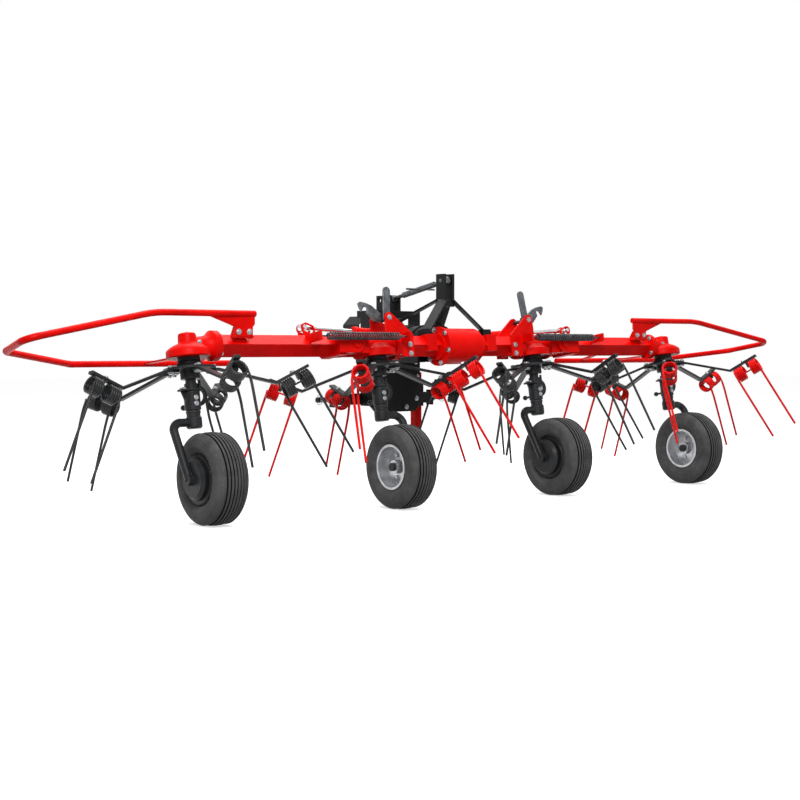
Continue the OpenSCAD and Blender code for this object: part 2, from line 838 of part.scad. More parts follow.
module rod(s) color(steel) at_cylinder(s) {
    along_x(rod_start, cyl_len - eye_r / 2, rod_r);
    translate([cyl_len, 0, 0]) {
        along_y(-eye_w / 2, eye_w / 2, eye_r);
        along_y(-eye_w / 2 - fork_gap - fork_t, eye_w / 2 + fork_gap + fork_t, cyl_pin_r);
    }
}

// Balance spring: a ribbed body stands for its windings
spring_turns = 30;
spring_body = spring_out - spring_in - 2 * spring_hook;
spring_step = spring_body / spring_turns;
spring_outline = concat(
    [[0, 0], [spring_r - spring_wire / 2, 0]],
    [for (k = [0 : spring_turns * 2 - 2])
        [k % 2 == 0 ? spring_r : spring_r - spring_wire / 2, (k + 1) * spring_step / 2]],
    [[spring_r - spring_wire / 2, spring_body], [0, spring_body]]
);
spring_eye_r = 7;

module balance_spring(s) color(black) tilted() handed(s) translate([spring_in, spring_y, spring_z]) {
    translate([spring_hook, 0, 0]) rotate([0, 90, 0]) rotate_extrude() polygon(spring_outline);
    along_x(-over + gap, spring_hook + over, spring_eye_r);
    along_x(spring_out - spring_in - spring_hook - over, spring_out - spring_in + over - gap, spring_eye_r);
}

// Guards in the ground frame, right-hand shape
pad_half = 30;
pad_len = 44;
pad_t = 10;
post_r = 11;
bracket_half = 52;
bracket_h = 30;
plate_half = 5;
gusset_h = 56;
gusset_len = 210;
post_len = 255;
brace_len = 265;
post_x = outer_x - post_len;
brace_x = outer_x - brace_len;
pad_d = beam_side / 2 + gap;
// Middle of a pad on the tube's upper rear or upper front face
rear_pad = to_ground([0, -(pad_d + pad_t / 2) / sqrt(2), (pad_d + pad_t / 2) / sqrt(2)]);
front_pad = to_ground([0, (pad_d + pad_t / 2) / sqrt(2), (pad_d + pad_t / 2) / sqrt(2)]);
top_pad = to_ground([0, 0, cap_top + pad_t]);
foot_pad = to_ground([0, foot_r + gap + pad_t / 2, (foot_low + foot_top) / 2]);
top_line = [
    [guard_in_x, guard_in_y, guard_top_z],
    [guard_bend_x, guard_bend_y, guard_top_z],
    guard_end
];
guard_bend = 55;
corner_len = 90;
// Both tubes are butted a little way past the corner, which the lower tube turns
top_stop = guard_end + corner_len * unit(top_line[1] - guard_end);
low_line = [
    [low_in_x, low_y, guard_low_z],
    [low_bend_x, low_y, guard_low_z],
    low_tip,
    guard_end,
    top_stop
];
function on_top(x) =
    top_line[0] + (top_line[1] - top_line[0]) * (x - guard_in_x) / (guard_bend_x - guard_in_x);

module guard_top(s) color(red) handed(s) {
    bent_tube([top_line[0], top_line[1], top_stop], guard_r, guard_bend);
    translate([post_x, 0, 0]) tilted() rotate([45, 0, 0])
        block([-pad_half, -pad_len / 2, pad_d], [pad_half, pad_len / 2, pad_d + pad_t]);
    // Bracket and gusset between the pad and the tube
    bracket_y = on_top(post_x).y - plate_half;
    gusset_half = bracket_half - over;
    gusset_low = guard_top_z - gusset_h;
    block([post_x - bracket_half, bracket_y, rear_pad.z + over],
        [post_x + bracket_half, rear_pad.y, rear_pad.z + bracket_h]);
    plate_xz(bracket_y, 2 * plate_half) polygon([
        [guard_in_x + over, guard_top_z], [guard_in_x + over, gusset_low],
        [post_x - gusset_half, gusset_low], [post_x - gusset_half, rear_pad.z + over * 2],
        [post_x + gusset_half, rear_pad.z + over * 2], [post_x + gusset_half, gusset_low],
        [post_x + gusset_len, guard_top_z]
    ]);
    translate([outer_x, 0, 0]) tilted() translate([0, 0, cap_top])
        cylinder(r = cap_r - cap_edge - over, h = pad_t);
    rod_between([outer_x, top_pad.y, top_pad.z], on_top(outer_x), post_r);
}

module guard_low(s) color(red) handed(s) {
    bent_tube(low_line, guard_r, guard_bend);
    translate([brace_x, 0, 0]) tilted() rotate([-45, 0, 0])
        block([-pad_half, -pad_len / 2, pad_d], [pad_half, pad_len / 2, pad_d + pad_t]);
    bar([brace_x, front_pad.y, front_pad.z], [brace_x, low_y, guard_low_z], brace_w, brace_t);
    translate([outer_x, 0, 0]) tilted()
        block([-brace_w / 2 - over, foot_r + gap, foot_low],
            [brace_w / 2 + over, foot_r + gap + pad_t, foot_top]);
    bar([outer_x, foot_pad.y, foot_pad.z], [outer_x, low_y, guard_low_z], brace_w, brace_t);
}

// Headstock: side arms from the saddles, cross plate, lower plate, cheeks, cap and clevis
arm_start = saddle_y + over;
head_back = head_y - cross_t;
head_front = head_y + head_depth;
clevis_x = 24;
head_corner = 34;
clevis_t = 14;

module headstock() color(black) {
    for (s = [-1, 1]) handed(s) {
        // Side arm, with a pad on the saddle's front
        block([saddle_x - arm_half, arm_start, arm_low_z], [saddle_x + arm_half, head_y, arm_top_z]);
        translate([saddle_x, 0, 0]) tilted()
            block([-saddle_half, half_diag + over, saddle_low], [saddle_half, saddle_y + cross_t, half_diag]);
        // Cheek of the headstock
        block([head_half - head_plate_t, head_back, head_low_z + head_corner],
            [head_half, head_front, head_top_z]);
    }
    block([-saddle_x - arm_half, head_back, arm_low_z - over], [-head_half + over, head_y, arm_top_z]);
    block([head_half - over, head_back, arm_low_z - over], [saddle_x + arm_half, head_y, arm_top_z]);
    plate_xz(head_back, cross_t) polygon([
        [-head_half, head_low_z + head_corner], [-head_half + head_corner, head_low_z],
        [head_half - head_corner, head_low_z], [head_half, head_low_z + head_corner],
        [head_half, head_plate_top], [-head_half, head_plate_top]
    ]);
    block([-head_half, head_back, head_top_z - head_cap_h], [head_half, clevis_y1, head_top_z]);
}

// Cheeks on the headstock's cap: the strut's pin behind and the tractor's top link in front
module clevis() color(black) {
    for (s = [-1, 1]) handed(s) difference() {
        block([clevis_x, clevis_y0, head_top_z], [clevis_x + clevis_t, clevis_y1, head_top_z + clevis_h]);
        translate([0, clevis_pin.y, clevis_pin.z]) along_x(0, clevis_x + clevis_t + over, strut_pin_r + gap);
        translate([0, link_bore.y, link_bore.z]) along_x(0, clevis_x + clevis_t + over, top_bore_r);
    }
}

// Cross tube with the lower link pins and the parking leg's sleeve
hitch_y0 = head_front;
hitch_y1 = head_front + hitch_depth;
hitch_mid = (hitch_y0 + hitch_y1) / 2;
sleeve_half = leg_side / 2 + gap + sleeve_wall;

module hitch_bar() color(black) {
    half = link_span / 2;
    difference() {
        union() {
            block([-half, hitch_y0, link_z - hitch_half_z], [half, hitch_y1, link_z + hitch_half_z]);
            block([leg_x - sleeve_half, hitch_y1 - over, sleeve_low],
                [leg_x + sleeve_half, leg_y + sleeve_half, sleeve_high]);
        }
        block([leg_x - leg_side / 2 - gap, leg_y - leg_side / 2 - gap, sleeve_low - over],
            [leg_x + leg_side / 2 + gap, leg_y + leg_side / 2 + gap, sleeve_high + over]);
    }
    for (s = [-1, 1]) handed(s) {
        block([half - shoulder_t, hitch_y0, link_z - shoulder_half],
            [half, hitch_y1, link_z + shoulder_half]);
        translate([0, hitch_mid, link_z]) along_x(half - over, half + link_pin_len, link_pin_r);
    }
}

module parking_leg() color(red) {
    difference() {
        block([leg_x - leg_side / 2, leg_y - leg_side / 2, 0],
            [leg_x + leg_side / 2, leg_y + leg_side / 2, leg_len]);
        block([leg_x - leg_side / 2 + sleeve_wall, leg_y - leg_side / 2 + sleeve_wall, leg_foot.z],
            [leg_x + leg_side / 2 - sleeve_wall, leg_y + leg_side / 2 - sleeve_wall, leg_len + over]);
    }
    translate([leg_x - leg_foot.x / 2, leg_y - leg_foot.y / 2, 0]) cube(leg_foot);
}

// Black tower: cheeks with the strut's bore, and four bars down to the saddles and side arms
saddle_mid = to_ground([saddle_x, 0, half_diag + over]);
rear_foot = [saddle_x, saddle_mid.y, saddle_mid.z];
front_foot = [saddle_x, front_foot_y, arm_top_z];
tower_root_x = tower_cheek_x + tower_cheek_t / 2;
tower_bar_top = tower_base_z + tower_bar_w * 0.7;

module tower() color(black) {
    for (s = [-1, 1]) handed(s) {
        difference() {
            block([tower_cheek_x, tower_y - tower_cheek_half, tower_base_z],
                [tower_cheek_x + tower_cheek_t, tower_y + tower_cheek_half, tower_top_z]);
            translate([0, tower_y, tower_pin_z])
                along_x(0, tower_cheek_x + tower_cheek_t + over, strut_pin_r + gap);
        }
        // Feet stand on the saddle and on the side arm
        translate([saddle_x, 0, 0]) tilted() block([-tower_foot_half, -tower_foot_half, half_diag + over],
            [tower_foot_half, tower_foot_half, half_diag + tower_foot_h]);
        block([saddle_x - tower_foot_half, front_foot_y - tower_foot_half, arm_top_z],
            [saddle_x + tower_foot_half, front_foot_y + tower_foot_half, arm_top_z + tower_foot_h]);
        bar(rear_foot + [0, 0, tower_foot_h * 0.5],
            [tower_root_x, tower_y - tower_cheek_half / 2, tower_bar_top], tower_bar_w, tower_bar_t);
        bar(front_foot + [0, 0, tower_foot_h * 0.5],
            [tower_root_x, tower_y + tower_cheek_half / 2, tower_bar_top], tower_bar_w, tower_bar_t);
    }
    block([-tower_cheek_x - over, tower_y - tower_cheek_half, tower_base_z],
        [tower_cheek_x + over, tower_y + tower_cheek_half, tower_neck_z]);
}

// Turnbuckle from the tower to the headstock, with its handle
strut_a = [0, tower_y, tower_pin_z];
strut_b = clevis_pin;
strut_eye_w = 2 * tower_cheek_x - 4 * over;
strut_body_shares = [0.2, 0.78];
handle_share = 0.46;

module top_strut() color(steel) {
    v = strut_b - strut_a;
    rod_between(strut_a, strut_b, strut_thin_r);
    rod_between(strut_a + strut_body_shares[0] * v, strut_a + strut_body_shares[1] * v, strut_r);
    for (p = [strut_a, strut_b]) translate(p) along_x(-strut_eye_w / 2, strut_eye_w / 2, strut_eye_r);
    translate(strut_a) along_x(-tower_cheek_x - tower_cheek_t, tower_cheek_x + tower_cheek_t, strut_pin_r);
    translate(strut_b) along_x(-clevis_x - clevis_t, clevis_x + clevis_t, strut_pin_r);
    rod_between(strut_a + handle_share * v - [handle_len / 2, 0, 0],
        strut_a + handle_share * v + [handle_len / 2, 0, 0], handle_r);
}

// Hood over the drive's coupling, and the ribbed tunnel behind it
hood_y0 = clevis_y1;
module hood() color(black) {
    plate_xz(hood_y0, hood_len) difference() {
        polygon(hood_outline(0));
        polygon(hood_outline(hood_wall));
    }
}
function hood_outline(w) = [
    [-hood_half + w, hood_low_z - (w > 0 ? over : 0)], [-hood_half + w, hood_top_z - hood_chamfer],
    [-hood_half + hood_chamfer + w * 0.4, hood_top_z - w],
    [hood_half - hood_chamfer - w * 0.4, hood_top_z - w],
    [hood_half - w, hood_top_z - hood_chamfer], [hood_half - w, hood_low_z - (w > 0 ? over : 0)]
];

tunnel_rib_t = 10;
module drive_tunnel() color(black) {
    tunnel_len = head_back - tunnel_y0;
    translate([0, 0, tunnel_z]) difference() {
        union() {
            along_y(tunnel_y0, head_back, tunnel_r);
            for (k = [0 : tunnel_ribs - 1]) {
                y = tunnel_y0 + k * (tunnel_len - tunnel_rib_t) / (tunnel_ribs - 1);
                along_y(y, y + tunnel_rib_t, tunnel_r + tunnel_wall);
            }
        }
        along_y(tunnel_y0 - over, head_back + over, tunnel_r - tunnel_wall);
        block([-2 * tunnel_r, tunnel_y0 - over, -2 * tunnel_r],
            [2 * tunnel_r, head_back + over, -tunnel_wall * 4]);
    }
}

center_frame();
gearbox_center();
gearbox_inner(-1);  // gearbox_2
gearbox_inner(1);  // gearbox_3
column(1);  // column_2
column(2);  // column_3
latch(-1);  // latch_left
latch(1);  // latch_right
tower();
headstock();
clevis();
hitch_bar();
top_strut();
hood();
drive_tunnel();
wing_beam(-1);  // wing_left
gearbox_outer(-1);  // gearbox_1
column(0);  // column_1
guard_top(-1);  // guard_top_left
guard_low(-1);  // guard_low_left
wing_beam(1);  // wing_right
gearbox_outer(1);  // gearbox_4
column(3);  // column_4
guard_top(1);  // guard_top_right
guard_low(1);  // guard_low_right
rotor_arms(0);  // rotor_arms_1
rotor_arms(1);  // rotor_arms_2
rotor_arms(2);  // rotor_arms_3
rotor_arms(3);  // rotor_arms_4
tines(0);  // tines_1
tines(1);  // tines_2
tines(2);  // tines_3
tines(3);  // tines_4
crank(0);  // crank_1
crank(1);  // crank_2
crank(2);  // crank_3
crank(3);  // crank_4
rim(0);  // rim_1
rim(1);  // rim_2
rim(2);  // rim_3
rim(3);  // rim_4
tyre(0);  // tyre_1
tyre(1);  // tyre_2
tyre(2);  // tyre_3
tyre(3);  // tyre_4
barrel(-1);  // barrel_left
barrel(1);  // barrel_right
rod(-1);  // rod_left
rod(1);  // rod_right
balance_spring(-1);  // spring_left
balance_spring(1);  // spring_right
parking_leg();
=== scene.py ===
import json
import math

import bmesh
import bpy
from mathutils import Matrix, Vector


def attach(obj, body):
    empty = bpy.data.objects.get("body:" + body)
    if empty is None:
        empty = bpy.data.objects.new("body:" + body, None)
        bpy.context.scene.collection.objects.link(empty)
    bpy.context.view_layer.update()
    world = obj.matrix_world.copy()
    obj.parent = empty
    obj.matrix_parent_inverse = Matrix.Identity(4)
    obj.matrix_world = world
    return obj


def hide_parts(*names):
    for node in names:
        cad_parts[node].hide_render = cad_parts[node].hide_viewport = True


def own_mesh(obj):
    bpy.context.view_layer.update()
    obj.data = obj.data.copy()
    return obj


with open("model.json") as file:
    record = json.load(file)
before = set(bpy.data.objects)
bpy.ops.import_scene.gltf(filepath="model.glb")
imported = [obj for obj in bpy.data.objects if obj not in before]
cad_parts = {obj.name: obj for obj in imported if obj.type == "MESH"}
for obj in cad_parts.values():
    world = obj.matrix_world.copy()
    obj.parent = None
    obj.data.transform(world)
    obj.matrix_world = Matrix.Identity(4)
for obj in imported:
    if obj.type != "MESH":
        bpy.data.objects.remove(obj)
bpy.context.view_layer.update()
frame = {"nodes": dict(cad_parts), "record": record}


# Camera
# The photograph was taken from behind the left wing, at waist height and through a fairly long lens.
# The place and angles come from fitting the four wheels and the beam to the photograph.
EYE = Vector((-4.735, -5.56, 0.772))
LENS_MM = 63.67
SENSOR_MM = 36.0
YAW = math.radians(38.14)
PITCH = math.radians(-2.07)
FAR_CLIP = 60.0

camera_data = bpy.data.cameras.new("camera")
camera_data.lens = LENS_MM
camera_data.sensor_width = SENSOR_MM
camera_data.sensor_fit = "HORIZONTAL"
camera_data.clip_end = FAR_CLIP
camera = bpy.data.objects.new("camera", camera_data)
bpy.context.scene.collection.objects.link(camera)
camera.location = EYE
camera.rotation_euler = (math.radians(90.0) + PITCH, 0.0, -YAW)
bpy.context.scene.camera = camera


# Red enamel
# Beam, gearboxes, wings, guards and parking leg are welded steel and cast iron under a glossy red top coat.
# The spray leaves a slight orange peel, and dust dulls the coat in soft patches.
EDGE_R = 0.0022
DARK_BELOW = 0.32
LIGHT_ABOVE = 0.68
GLOSSIEST = 0.75
DULLEST = 1.3


def linear(hex_text):
    """Linear colour of an sRGB hex value."""
    parts = [int(hex_text[i:i + 2], 16) / 255.0 for i in (1, 3, 5)]
    bent = [p / 12.92 if p <= 0.04045 else ((p + 0.055) / 1.055) ** 2.4 for p in parts]
    return (*bent, 1.0)


def add(tree, kind, settings=None, sockets=(), **links):
    """Adds a node, sets its properties and inputs, and links sockets to inputs in order or by name."""
    node = tree.nodes.new(kind)
    for name, value in (settings or {}).items():
        if name in node.inputs:
            node.inputs[name].default_value = value
        else:
            setattr(node, name, value)
    for place, socket in enumerate(sockets):
        tree.links.new(socket, node.inputs[place])
    for name, socket in links.items():
        tree.links.new(socket, node.inputs[name.replace("_", " ")])
    return node


def per_metre(millimetres):
    """Texture scale that repeats about once in the given real size."""
    return 1000.0 / millimetres


def coated(name, shade, light, dark, roughness, patch_mm, peel_mm, peel_depth, metallic=0.0, shine=0.5,
           worn=None):
    """Paint or plating: close colours in soft patches, uneven gloss, a fine bump, and edges that wear."""
    material = bpy.data.materials.new(name)
    material.use_nodes = True
    tree = material.node_tree
    tree.nodes.clear()
    place = add(tree, "ShaderNodeTexCoord").outputs["Object"]
    patches = add(tree, "ShaderNodeTexNoise",
                  {"Scale": per_metre(patch_mm), "Detail": 5.0, "Roughness": 0.6}, Vector=place)
    peel = add(tree, "ShaderNodeTexNoise", {"Scale": per_metre(peel_mm), "Detail": 2.0}, Vector=place)
    tint = add(tree, "ShaderNodeValToRGB", Fac=patches.outputs["Fac"])
    tint.color_ramp.elements[0].position = DARK_BELOW
    tint.color_ramp.elements[0].color = linear(dark)
    tint.color_ramp.elements[1].position = LIGHT_ABOVE
    tint.color_ramp.elements[1].color = linear(light)
    middle = tint.color_ramp.elements.new((DARK_BELOW + LIGHT_ABOVE) / 2)
    middle.color = linear(shade)
    gloss = add(tree, "ShaderNodeMapRange",
                {"To Min": roughness * GLOSSIEST, "To Max": min(1.0, roughness * DULLEST)},
                Value=patches.outputs["Fac"])
    rounded = add(tree, "ShaderNodeBevel", {"samples": 4, "Radius": EDGE_R})
    bump = add(tree, "ShaderNodeBump", {"Strength": 0.35, "Distance": peel_depth},
               Height=peel.outputs["Fac"], Normal=rounded.outputs["Normal"])
    flat = add(tree, "ShaderNodeNewGeometry")
    turned_away = add(tree, "ShaderNodeVectorMath", {"operation": "DOT_PRODUCT"},
                      (rounded.outputs["Normal"], flat.outputs["Normal"]))
    edge = add(tree, "ShaderNodeMapRange", {"From Min": 0.99, "From Max": 0.78, "To Max": 0.8},
               Value=turned_away.outputs["Value"])
    rubbed = add(tree, "ShaderNodeMixRGB", {"Color2": linear(worn or light)},
                 Fac=edge.outputs["Result"], Color1=tint.outputs["Color"])
    surface = add(tree, "ShaderNodeBsdfPrincipled",
                  {"Metallic": metallic, "Specular IOR Level": shine},
                  Base_Color=rubbed.outputs["Color"], Roughness=gloss.outputs["Result"],
                  Normal=bump.outputs["Normal"])
    add(tree, "ShaderNodeOutputMaterial", Surface=surface.outputs["BSDF"])
    return material


def finish_nodes(material, *names):
    """Gives CAD nodes a material."""
    for name in names:
        node = frame["nodes"][name]
        node.data.materials.clear()
        node.data.materials.append(material)


# Sprayed enamel gives an even, full red with a soft shine, paler along rubbed edges.
red_enamel = coated("red_enamel", "#e80a05", "#f2100a", "#d00503", roughness=0.4, patch_mm=160.0,
                    peel_mm=5.0, peel_depth=0.0004, shine=0.08, worn="#ff3a30")
finish_nodes(red_enamel, "center_frame", "gearbox_center", "gearbox_2", "gearbox_3", "wing_left",
             "wing_right", "guard_low_left", "guard_low_right", "barrel_left", "barrel_right", "parking_leg")


# Black paint
# Tower, headstock, clevis and cross tube are welded from plate and tube.
# They are painted satin black, which wears to grey along the cut edges.

# Satin paint gives a near black with weak, broad highlights.
black_paint = coated("satin_black_paint", "#0c0d0e", "#141516", "#070708", roughness=0.42, patch_mm=120.0,
                     peel_mm=4.0, peel_depth=0.0003, shine=0.16, worn="#54575a")
finish_nodes(black_paint, "tower", "headstock", "clevis", "hitch_bar")


# Dark grey paint
# Rotor arms and columns are forged bars, and the wheel cranks are bent tube.
# All of them are painted dark grey over the rough surface that forging leaves.

# The thin paint gives a dark grey with a little grain and pale worn edges.
dark_paint = coated("dark_grey_paint", "#1c1d1f", "#27292b", "#121314", roughness=0.42, patch_mm=90.0,
                    peel_mm=3.0, peel_depth=0.0003, shine=0.2, worn="#5c5f63")
for i in range(1, 5):
    finish_nodes(dark_paint, f"rotor_arms_{i}", f"column_{i}", f"crank_{i}")


# Moulded covers
# The hood over the drive's coupling and the ribbed tunnel behind the headstock are moulded polyethylene.
# They keep hands away from the turning shaft.

# Moulded polyethylene gives a waxy black with a fine, even grain.
black_plastic = coated("moulded_polyethylene", "#0f1011", "#191a1b", "#0a0a0b", roughness=0.4,
                       patch_mm=200.0, peel_mm=2.5, peel_depth=0.0004, shine=0.16)
finish_nodes(black_plastic, "hood", "drive_tunnel")


# Plated steel
# The turnbuckle between tower and headstock is steel with a zinc plating, and so are the latch hooks.
# The fold cylinders' rods are ground round and plated with hard chrome.

# Zinc gives a dull, cool grey metal.
zinc_plate = coated("zinc_plated_steel", "#5d6063", "#73767a", "#45474a", roughness=0.42, patch_mm=40.0,
                    peel_mm=2.0, peel_depth=0.0002, metallic=0.85)
# Hard chrome gives a bright rod that mirrors what is round it.
chrome_rod = coated("hard_chrome", "#c9cbce", "#d6d8da", "#b4b6b9", roughness=0.12, patch_mm=60.0,
                    peel_mm=2.0, peel_depth=0.0001, metallic=1.0)
finish_nodes(zinc_plate, "top_strut")
finish_nodes(chrome_rod, "rod_left", "rod_right")


# Spring tines
# Each double tine is one spring-steel wire: a leg, a coil, the bridge under the clamp, a coil and a leg.
# Neighbouring rotors turn against each other, so their tines are left-hand and right-hand.
LEAN = math.radians(9.0)
ARM_COUNT = 5
# Turn of each rotor's first arm in degrees, as in the photograph
ROTOR_PHASE = [46.0, 8.0, 64.0, 8.0]
HANDS = [1, -1, 1, -1]
ARM_T = 0.013
KINK = Vector((0.380, 0.0, -0.1945))
HOLDER_ANGLE = math.radians(24.0)
HOLDER_LEN = 0.168
HOLDER_END = 0.004
WIRE_R = 0.0061
COIL_MID = 0.0360
COIL_TURNS = 5
COIL_LEN = 0.063
COIL_GAP = 0.026
COIL_SEAT = 0.0003
COIL_DEPTH = -ARM_T / 2 - COIL_SEAT - COIL_MID - WIRE_R
COIL_OUT = HOLDER_LEN - HOLDER_END - COIL_LEN
COIL_IN = COIL_OUT - COIL_GAP - COIL_LEN
TINE_BEND = 0.072
TINE_BEND_R = 0.03
TINE_LEN = 0.395
TIP_LEAN = 0.005
STEPS_PER_TURN = 20

joint_at = {row["name"]: Vector(row["pos_m"]) for row in frame["record"]["behaviour"]["joints"]}
ROTOR_X = [joint_at[f"rotor_{number}_spin"].x for number in (1, 2, 3, 4)]
BEAM_Z = joint_at["right_wing_fold"].z
beam_frame = Matrix.Translation((0.0, 0.0, BEAM_Z)) @ Matrix.Rotation(-LEAN, 4, "X")


def placed(name, mesh, material, body):
    """Object of a finished mesh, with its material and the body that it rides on."""
    mesh.materials.clear()
    mesh.materials.append(material)
    piece = bpy.data.objects.new(name, mesh)
    bpy.context.scene.collection.objects.link(piece)
    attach(piece, body)
    return piece


def bent_wire(name, lines, radius, material, body, resolution=3):
    """Round wire or tube along one or more open lines, as a mesh."""
    curve = bpy.data.curves.new(name, "CURVE")
    curve.dimensions = "3D"
    curve.bevel_depth = radius
    curve.bevel_resolution = resolution
    curve.use_fill_caps = True
    for points in lines:
        spline = curve.splines.new("POLY")
        spline.points.add(len(points) - 1)
        for spot, place in zip(spline.points, points):
            spot.co = (*place, 1.0)
    draft = bpy.data.objects.new(name + "_draft", curve)
    bpy.context.scene.collection.objects.link(draft)
    bpy.context.view_layer.update()
    mesh = bpy.data.meshes.new_from_object(draft)
    bpy.data.objects.remove(draft)
    mesh.name = name
    mesh.shade_smooth()
    return placed(name, mesh, material, body)


def holder(i, k):
    """Frame of the bent end of arm k on rotor i: X runs along it, and Z stands out of its top."""
    turn = math.radians(ROTOR_PHASE[i] + k * 360.0 / ARM_COUNT)
    return (beam_frame @ Matrix.Translation((ROTOR_X[i], 0.0, 0.0)) @ Matrix.Rotation(turn, 4, "Z")
            @ Matrix.Translation(KINK) @ Matrix.Rotation(-HOLDER_ANGLE, 4, "Y"))


def coil(start, turns, length, first, hand):
    """Points of a coil along the holder from start, which begins at the given angle."""
    points = []
    count = int(turns * STEPS_PER_TURN)
    for k in range(count + 1):
        angle = first + 2 * math.pi * turns * k / count
        points.append(Vector((start + length * k / count, hand * COIL_MID * math.cos(angle),
                              COIL_DEPTH + COIL_MID * math.sin(angle))))
    return points


def bend(a, b, c, radius, count=6):
    """Points of a rounded corner at b between a and c."""
    before = b + (a - b).normalized() * radius
    after = b + (c - b).normalized() * radius
    return [before.lerp(b, t).lerp(b.lerp(after, t), t) for t in (k / count for k in range(count + 1))]


def leg(s, hand):
    """Points of one leg from its coil to its tip."""
    top = Vector((s, hand * COIL_MID, COIL_DEPTH))
    knee = Vector((s, hand * COIL_MID, COIL_DEPTH - TINE_BEND))
    tip = Vector((s, hand * TIP_LEAN, COIL_DEPTH - TINE_LEN))
    return [top, *bend(top, knee, tip, TINE_BEND_R), tip]


def double_tine(hand):
    """One wire from tip to tip: leg, coil, bridge, coil, leg."""
    first = COIL_IN + WIRE_R
    last = COIL_OUT + COIL_LEN - WIRE_R
    wind = COIL_LEN - 2 * WIRE_R
    half_turns = COIL_TURNS - 0.5
    inner = coil(first, half_turns, wind, 0.0, hand)
    outer = coil(COIL_OUT + WIRE_R, half_turns, wind, math.pi, hand)
    return [*reversed(leg(first, hand)), *inner[1:], *outer[:-1], *leg(last, hand)]


# A thin enamel on spring wire gives a bright line along every turn, red or black by the rotor's hand.
tine_red = coated("red_tine_enamel", "#e60a06", "#f0120c", "#c80603", roughness=0.36, patch_mm=60.0,
                  peel_mm=3.0, peel_depth=0.0002, shine=0.12)
tine_black = coated("black_tine_enamel", "#1d1e20", "#292b2d", "#131416", roughness=0.34, patch_mm=60.0,
                    peel_mm=3.0, peel_depth=0.0002, shine=0.25)
for i, hand in enumerate(HANDS):
    wires = [[holder(i, k) @ p for p in double_tine(hand)] for k in range(ARM_COUNT)]
    paint, slot = (tine_black, "black_paint") if hand > 0 else (tine_red, "red_paint")
    tines = bent_wire(f"spring_tines_{i + 1}", wires, WIRE_R, paint, f"rotor_{i + 1}")
    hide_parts(f"tines_{i + 1}")


# Bolts
# Zinc-plated hex bolts on washers hold the flanges, the rotor arms and the tine clamps.
# More of them tie the latch lugs' plates and fix the headstock's rear plate.
WASHER_R = 0.0135
WASHER_H = 0.0025
WASHER_SIDES = 24
BOLT_R = 0.0105
BOLT_H = 0.0085
BOLT_TOP_R = BOLT_R * 0.86
BOLT_CHAMFER = 0.0012
WASHER = [(WASHER_R, 0.0), (WASHER_R, WASHER_H)]
HEX_HEAD = [(BOLT_R, WASHER_H), (BOLT_R, BOLT_H), (BOLT_TOP_R, BOLT_H + BOLT_CHAMFER)]
DRUM_FLANGE = -0.125
DRUM_CIRCLE = 0.088
DRUM_BOLTS = 6
DRUM_FIRST = 20.0
FLANGE_IN = 0.407
FLANGE_CIRCLE = 0.056
FLANGE_BOLTS = 4
FLANGE_FIRST = 45.0
WING_FLANGE = 1.431
LUG_X = 0.469
LUG_Z = 0.134
LUG_FACE = -0.064
LUG_TIE_X = 0.354
LUG_TIE_Z = (-0.0456, 0.0)
HEAD_FACE = 0.508
HEAD_BOLTS = [(0.140, 0.70), (0.150, 0.62), (0.145, 0.50), (0.075, 0.455)]
PLATE_TOP = -0.100
ARM_UNDER = -0.121
ARM_BOLT_R = (0.082, 0.108)


def lathe(profile, place, segments=32):
    """Shell of (radius, height) points turned about the place's own Z."""
    turns = [2 * math.pi * k / segments for k in range(segments)]
    vertices = [place @ Vector((r * math.cos(a), r * math.sin(a), z)) for r, z in profile for a in turns]
    faces = [tuple(reversed(range(segments)))]
    for level in range(len(profile) - 1):
        a, b = level * segments, (level + 1) * segments
        faces += [(a + k, a + (k + 1) % segments, b + (k + 1) % segments, b + k) for k in range(segments)]
    faces.append(tuple((len(profile) - 1) * segments + k for k in range(segments)))
    return vertices, faces


def hex_bolts(name, spots, body, scale=1.0):
    """One mesh of bolt heads on washers, each at (place, direction)."""
    vertices, faces = [], []
    for place, direction in spots:
        turn = Vector(direction).to_track_quat("Z", "Y").to_matrix().to_4x4()
        seat = Matrix.Translation(place) @ turn @ Matrix.Scale(scale, 4)
        for profile, sides in ((WASHER, WASHER_SIDES), (HEX_HEAD, 6)):
            corners, rings = lathe(profile, seat, sides)
            faces += [tuple(len(vertices) + k for k in ring) for ring in rings]
            vertices += corners
    mesh = bpy.data.meshes.new(name)
    mesh.from_pydata(vertices, [], faces)
    return placed(name, mesh, bolt_zinc, body)


def leaning(x, y, z):
    """Place on the leaning beam, in the ground frame."""
    return beam_frame @ Vector((x, y, z))


def flange_ring(x, radius, count, first, facing):
    """Bolts round a flange on the beam, seen along X."""
    spots = []
    for k in range(count):
        angle = math.radians(first + k * 360.0 / count)
        spots.append((leaning(x, radius * math.cos(angle), radius * math.sin(angle)), (facing, 0.0, 0.0)))
    return spots


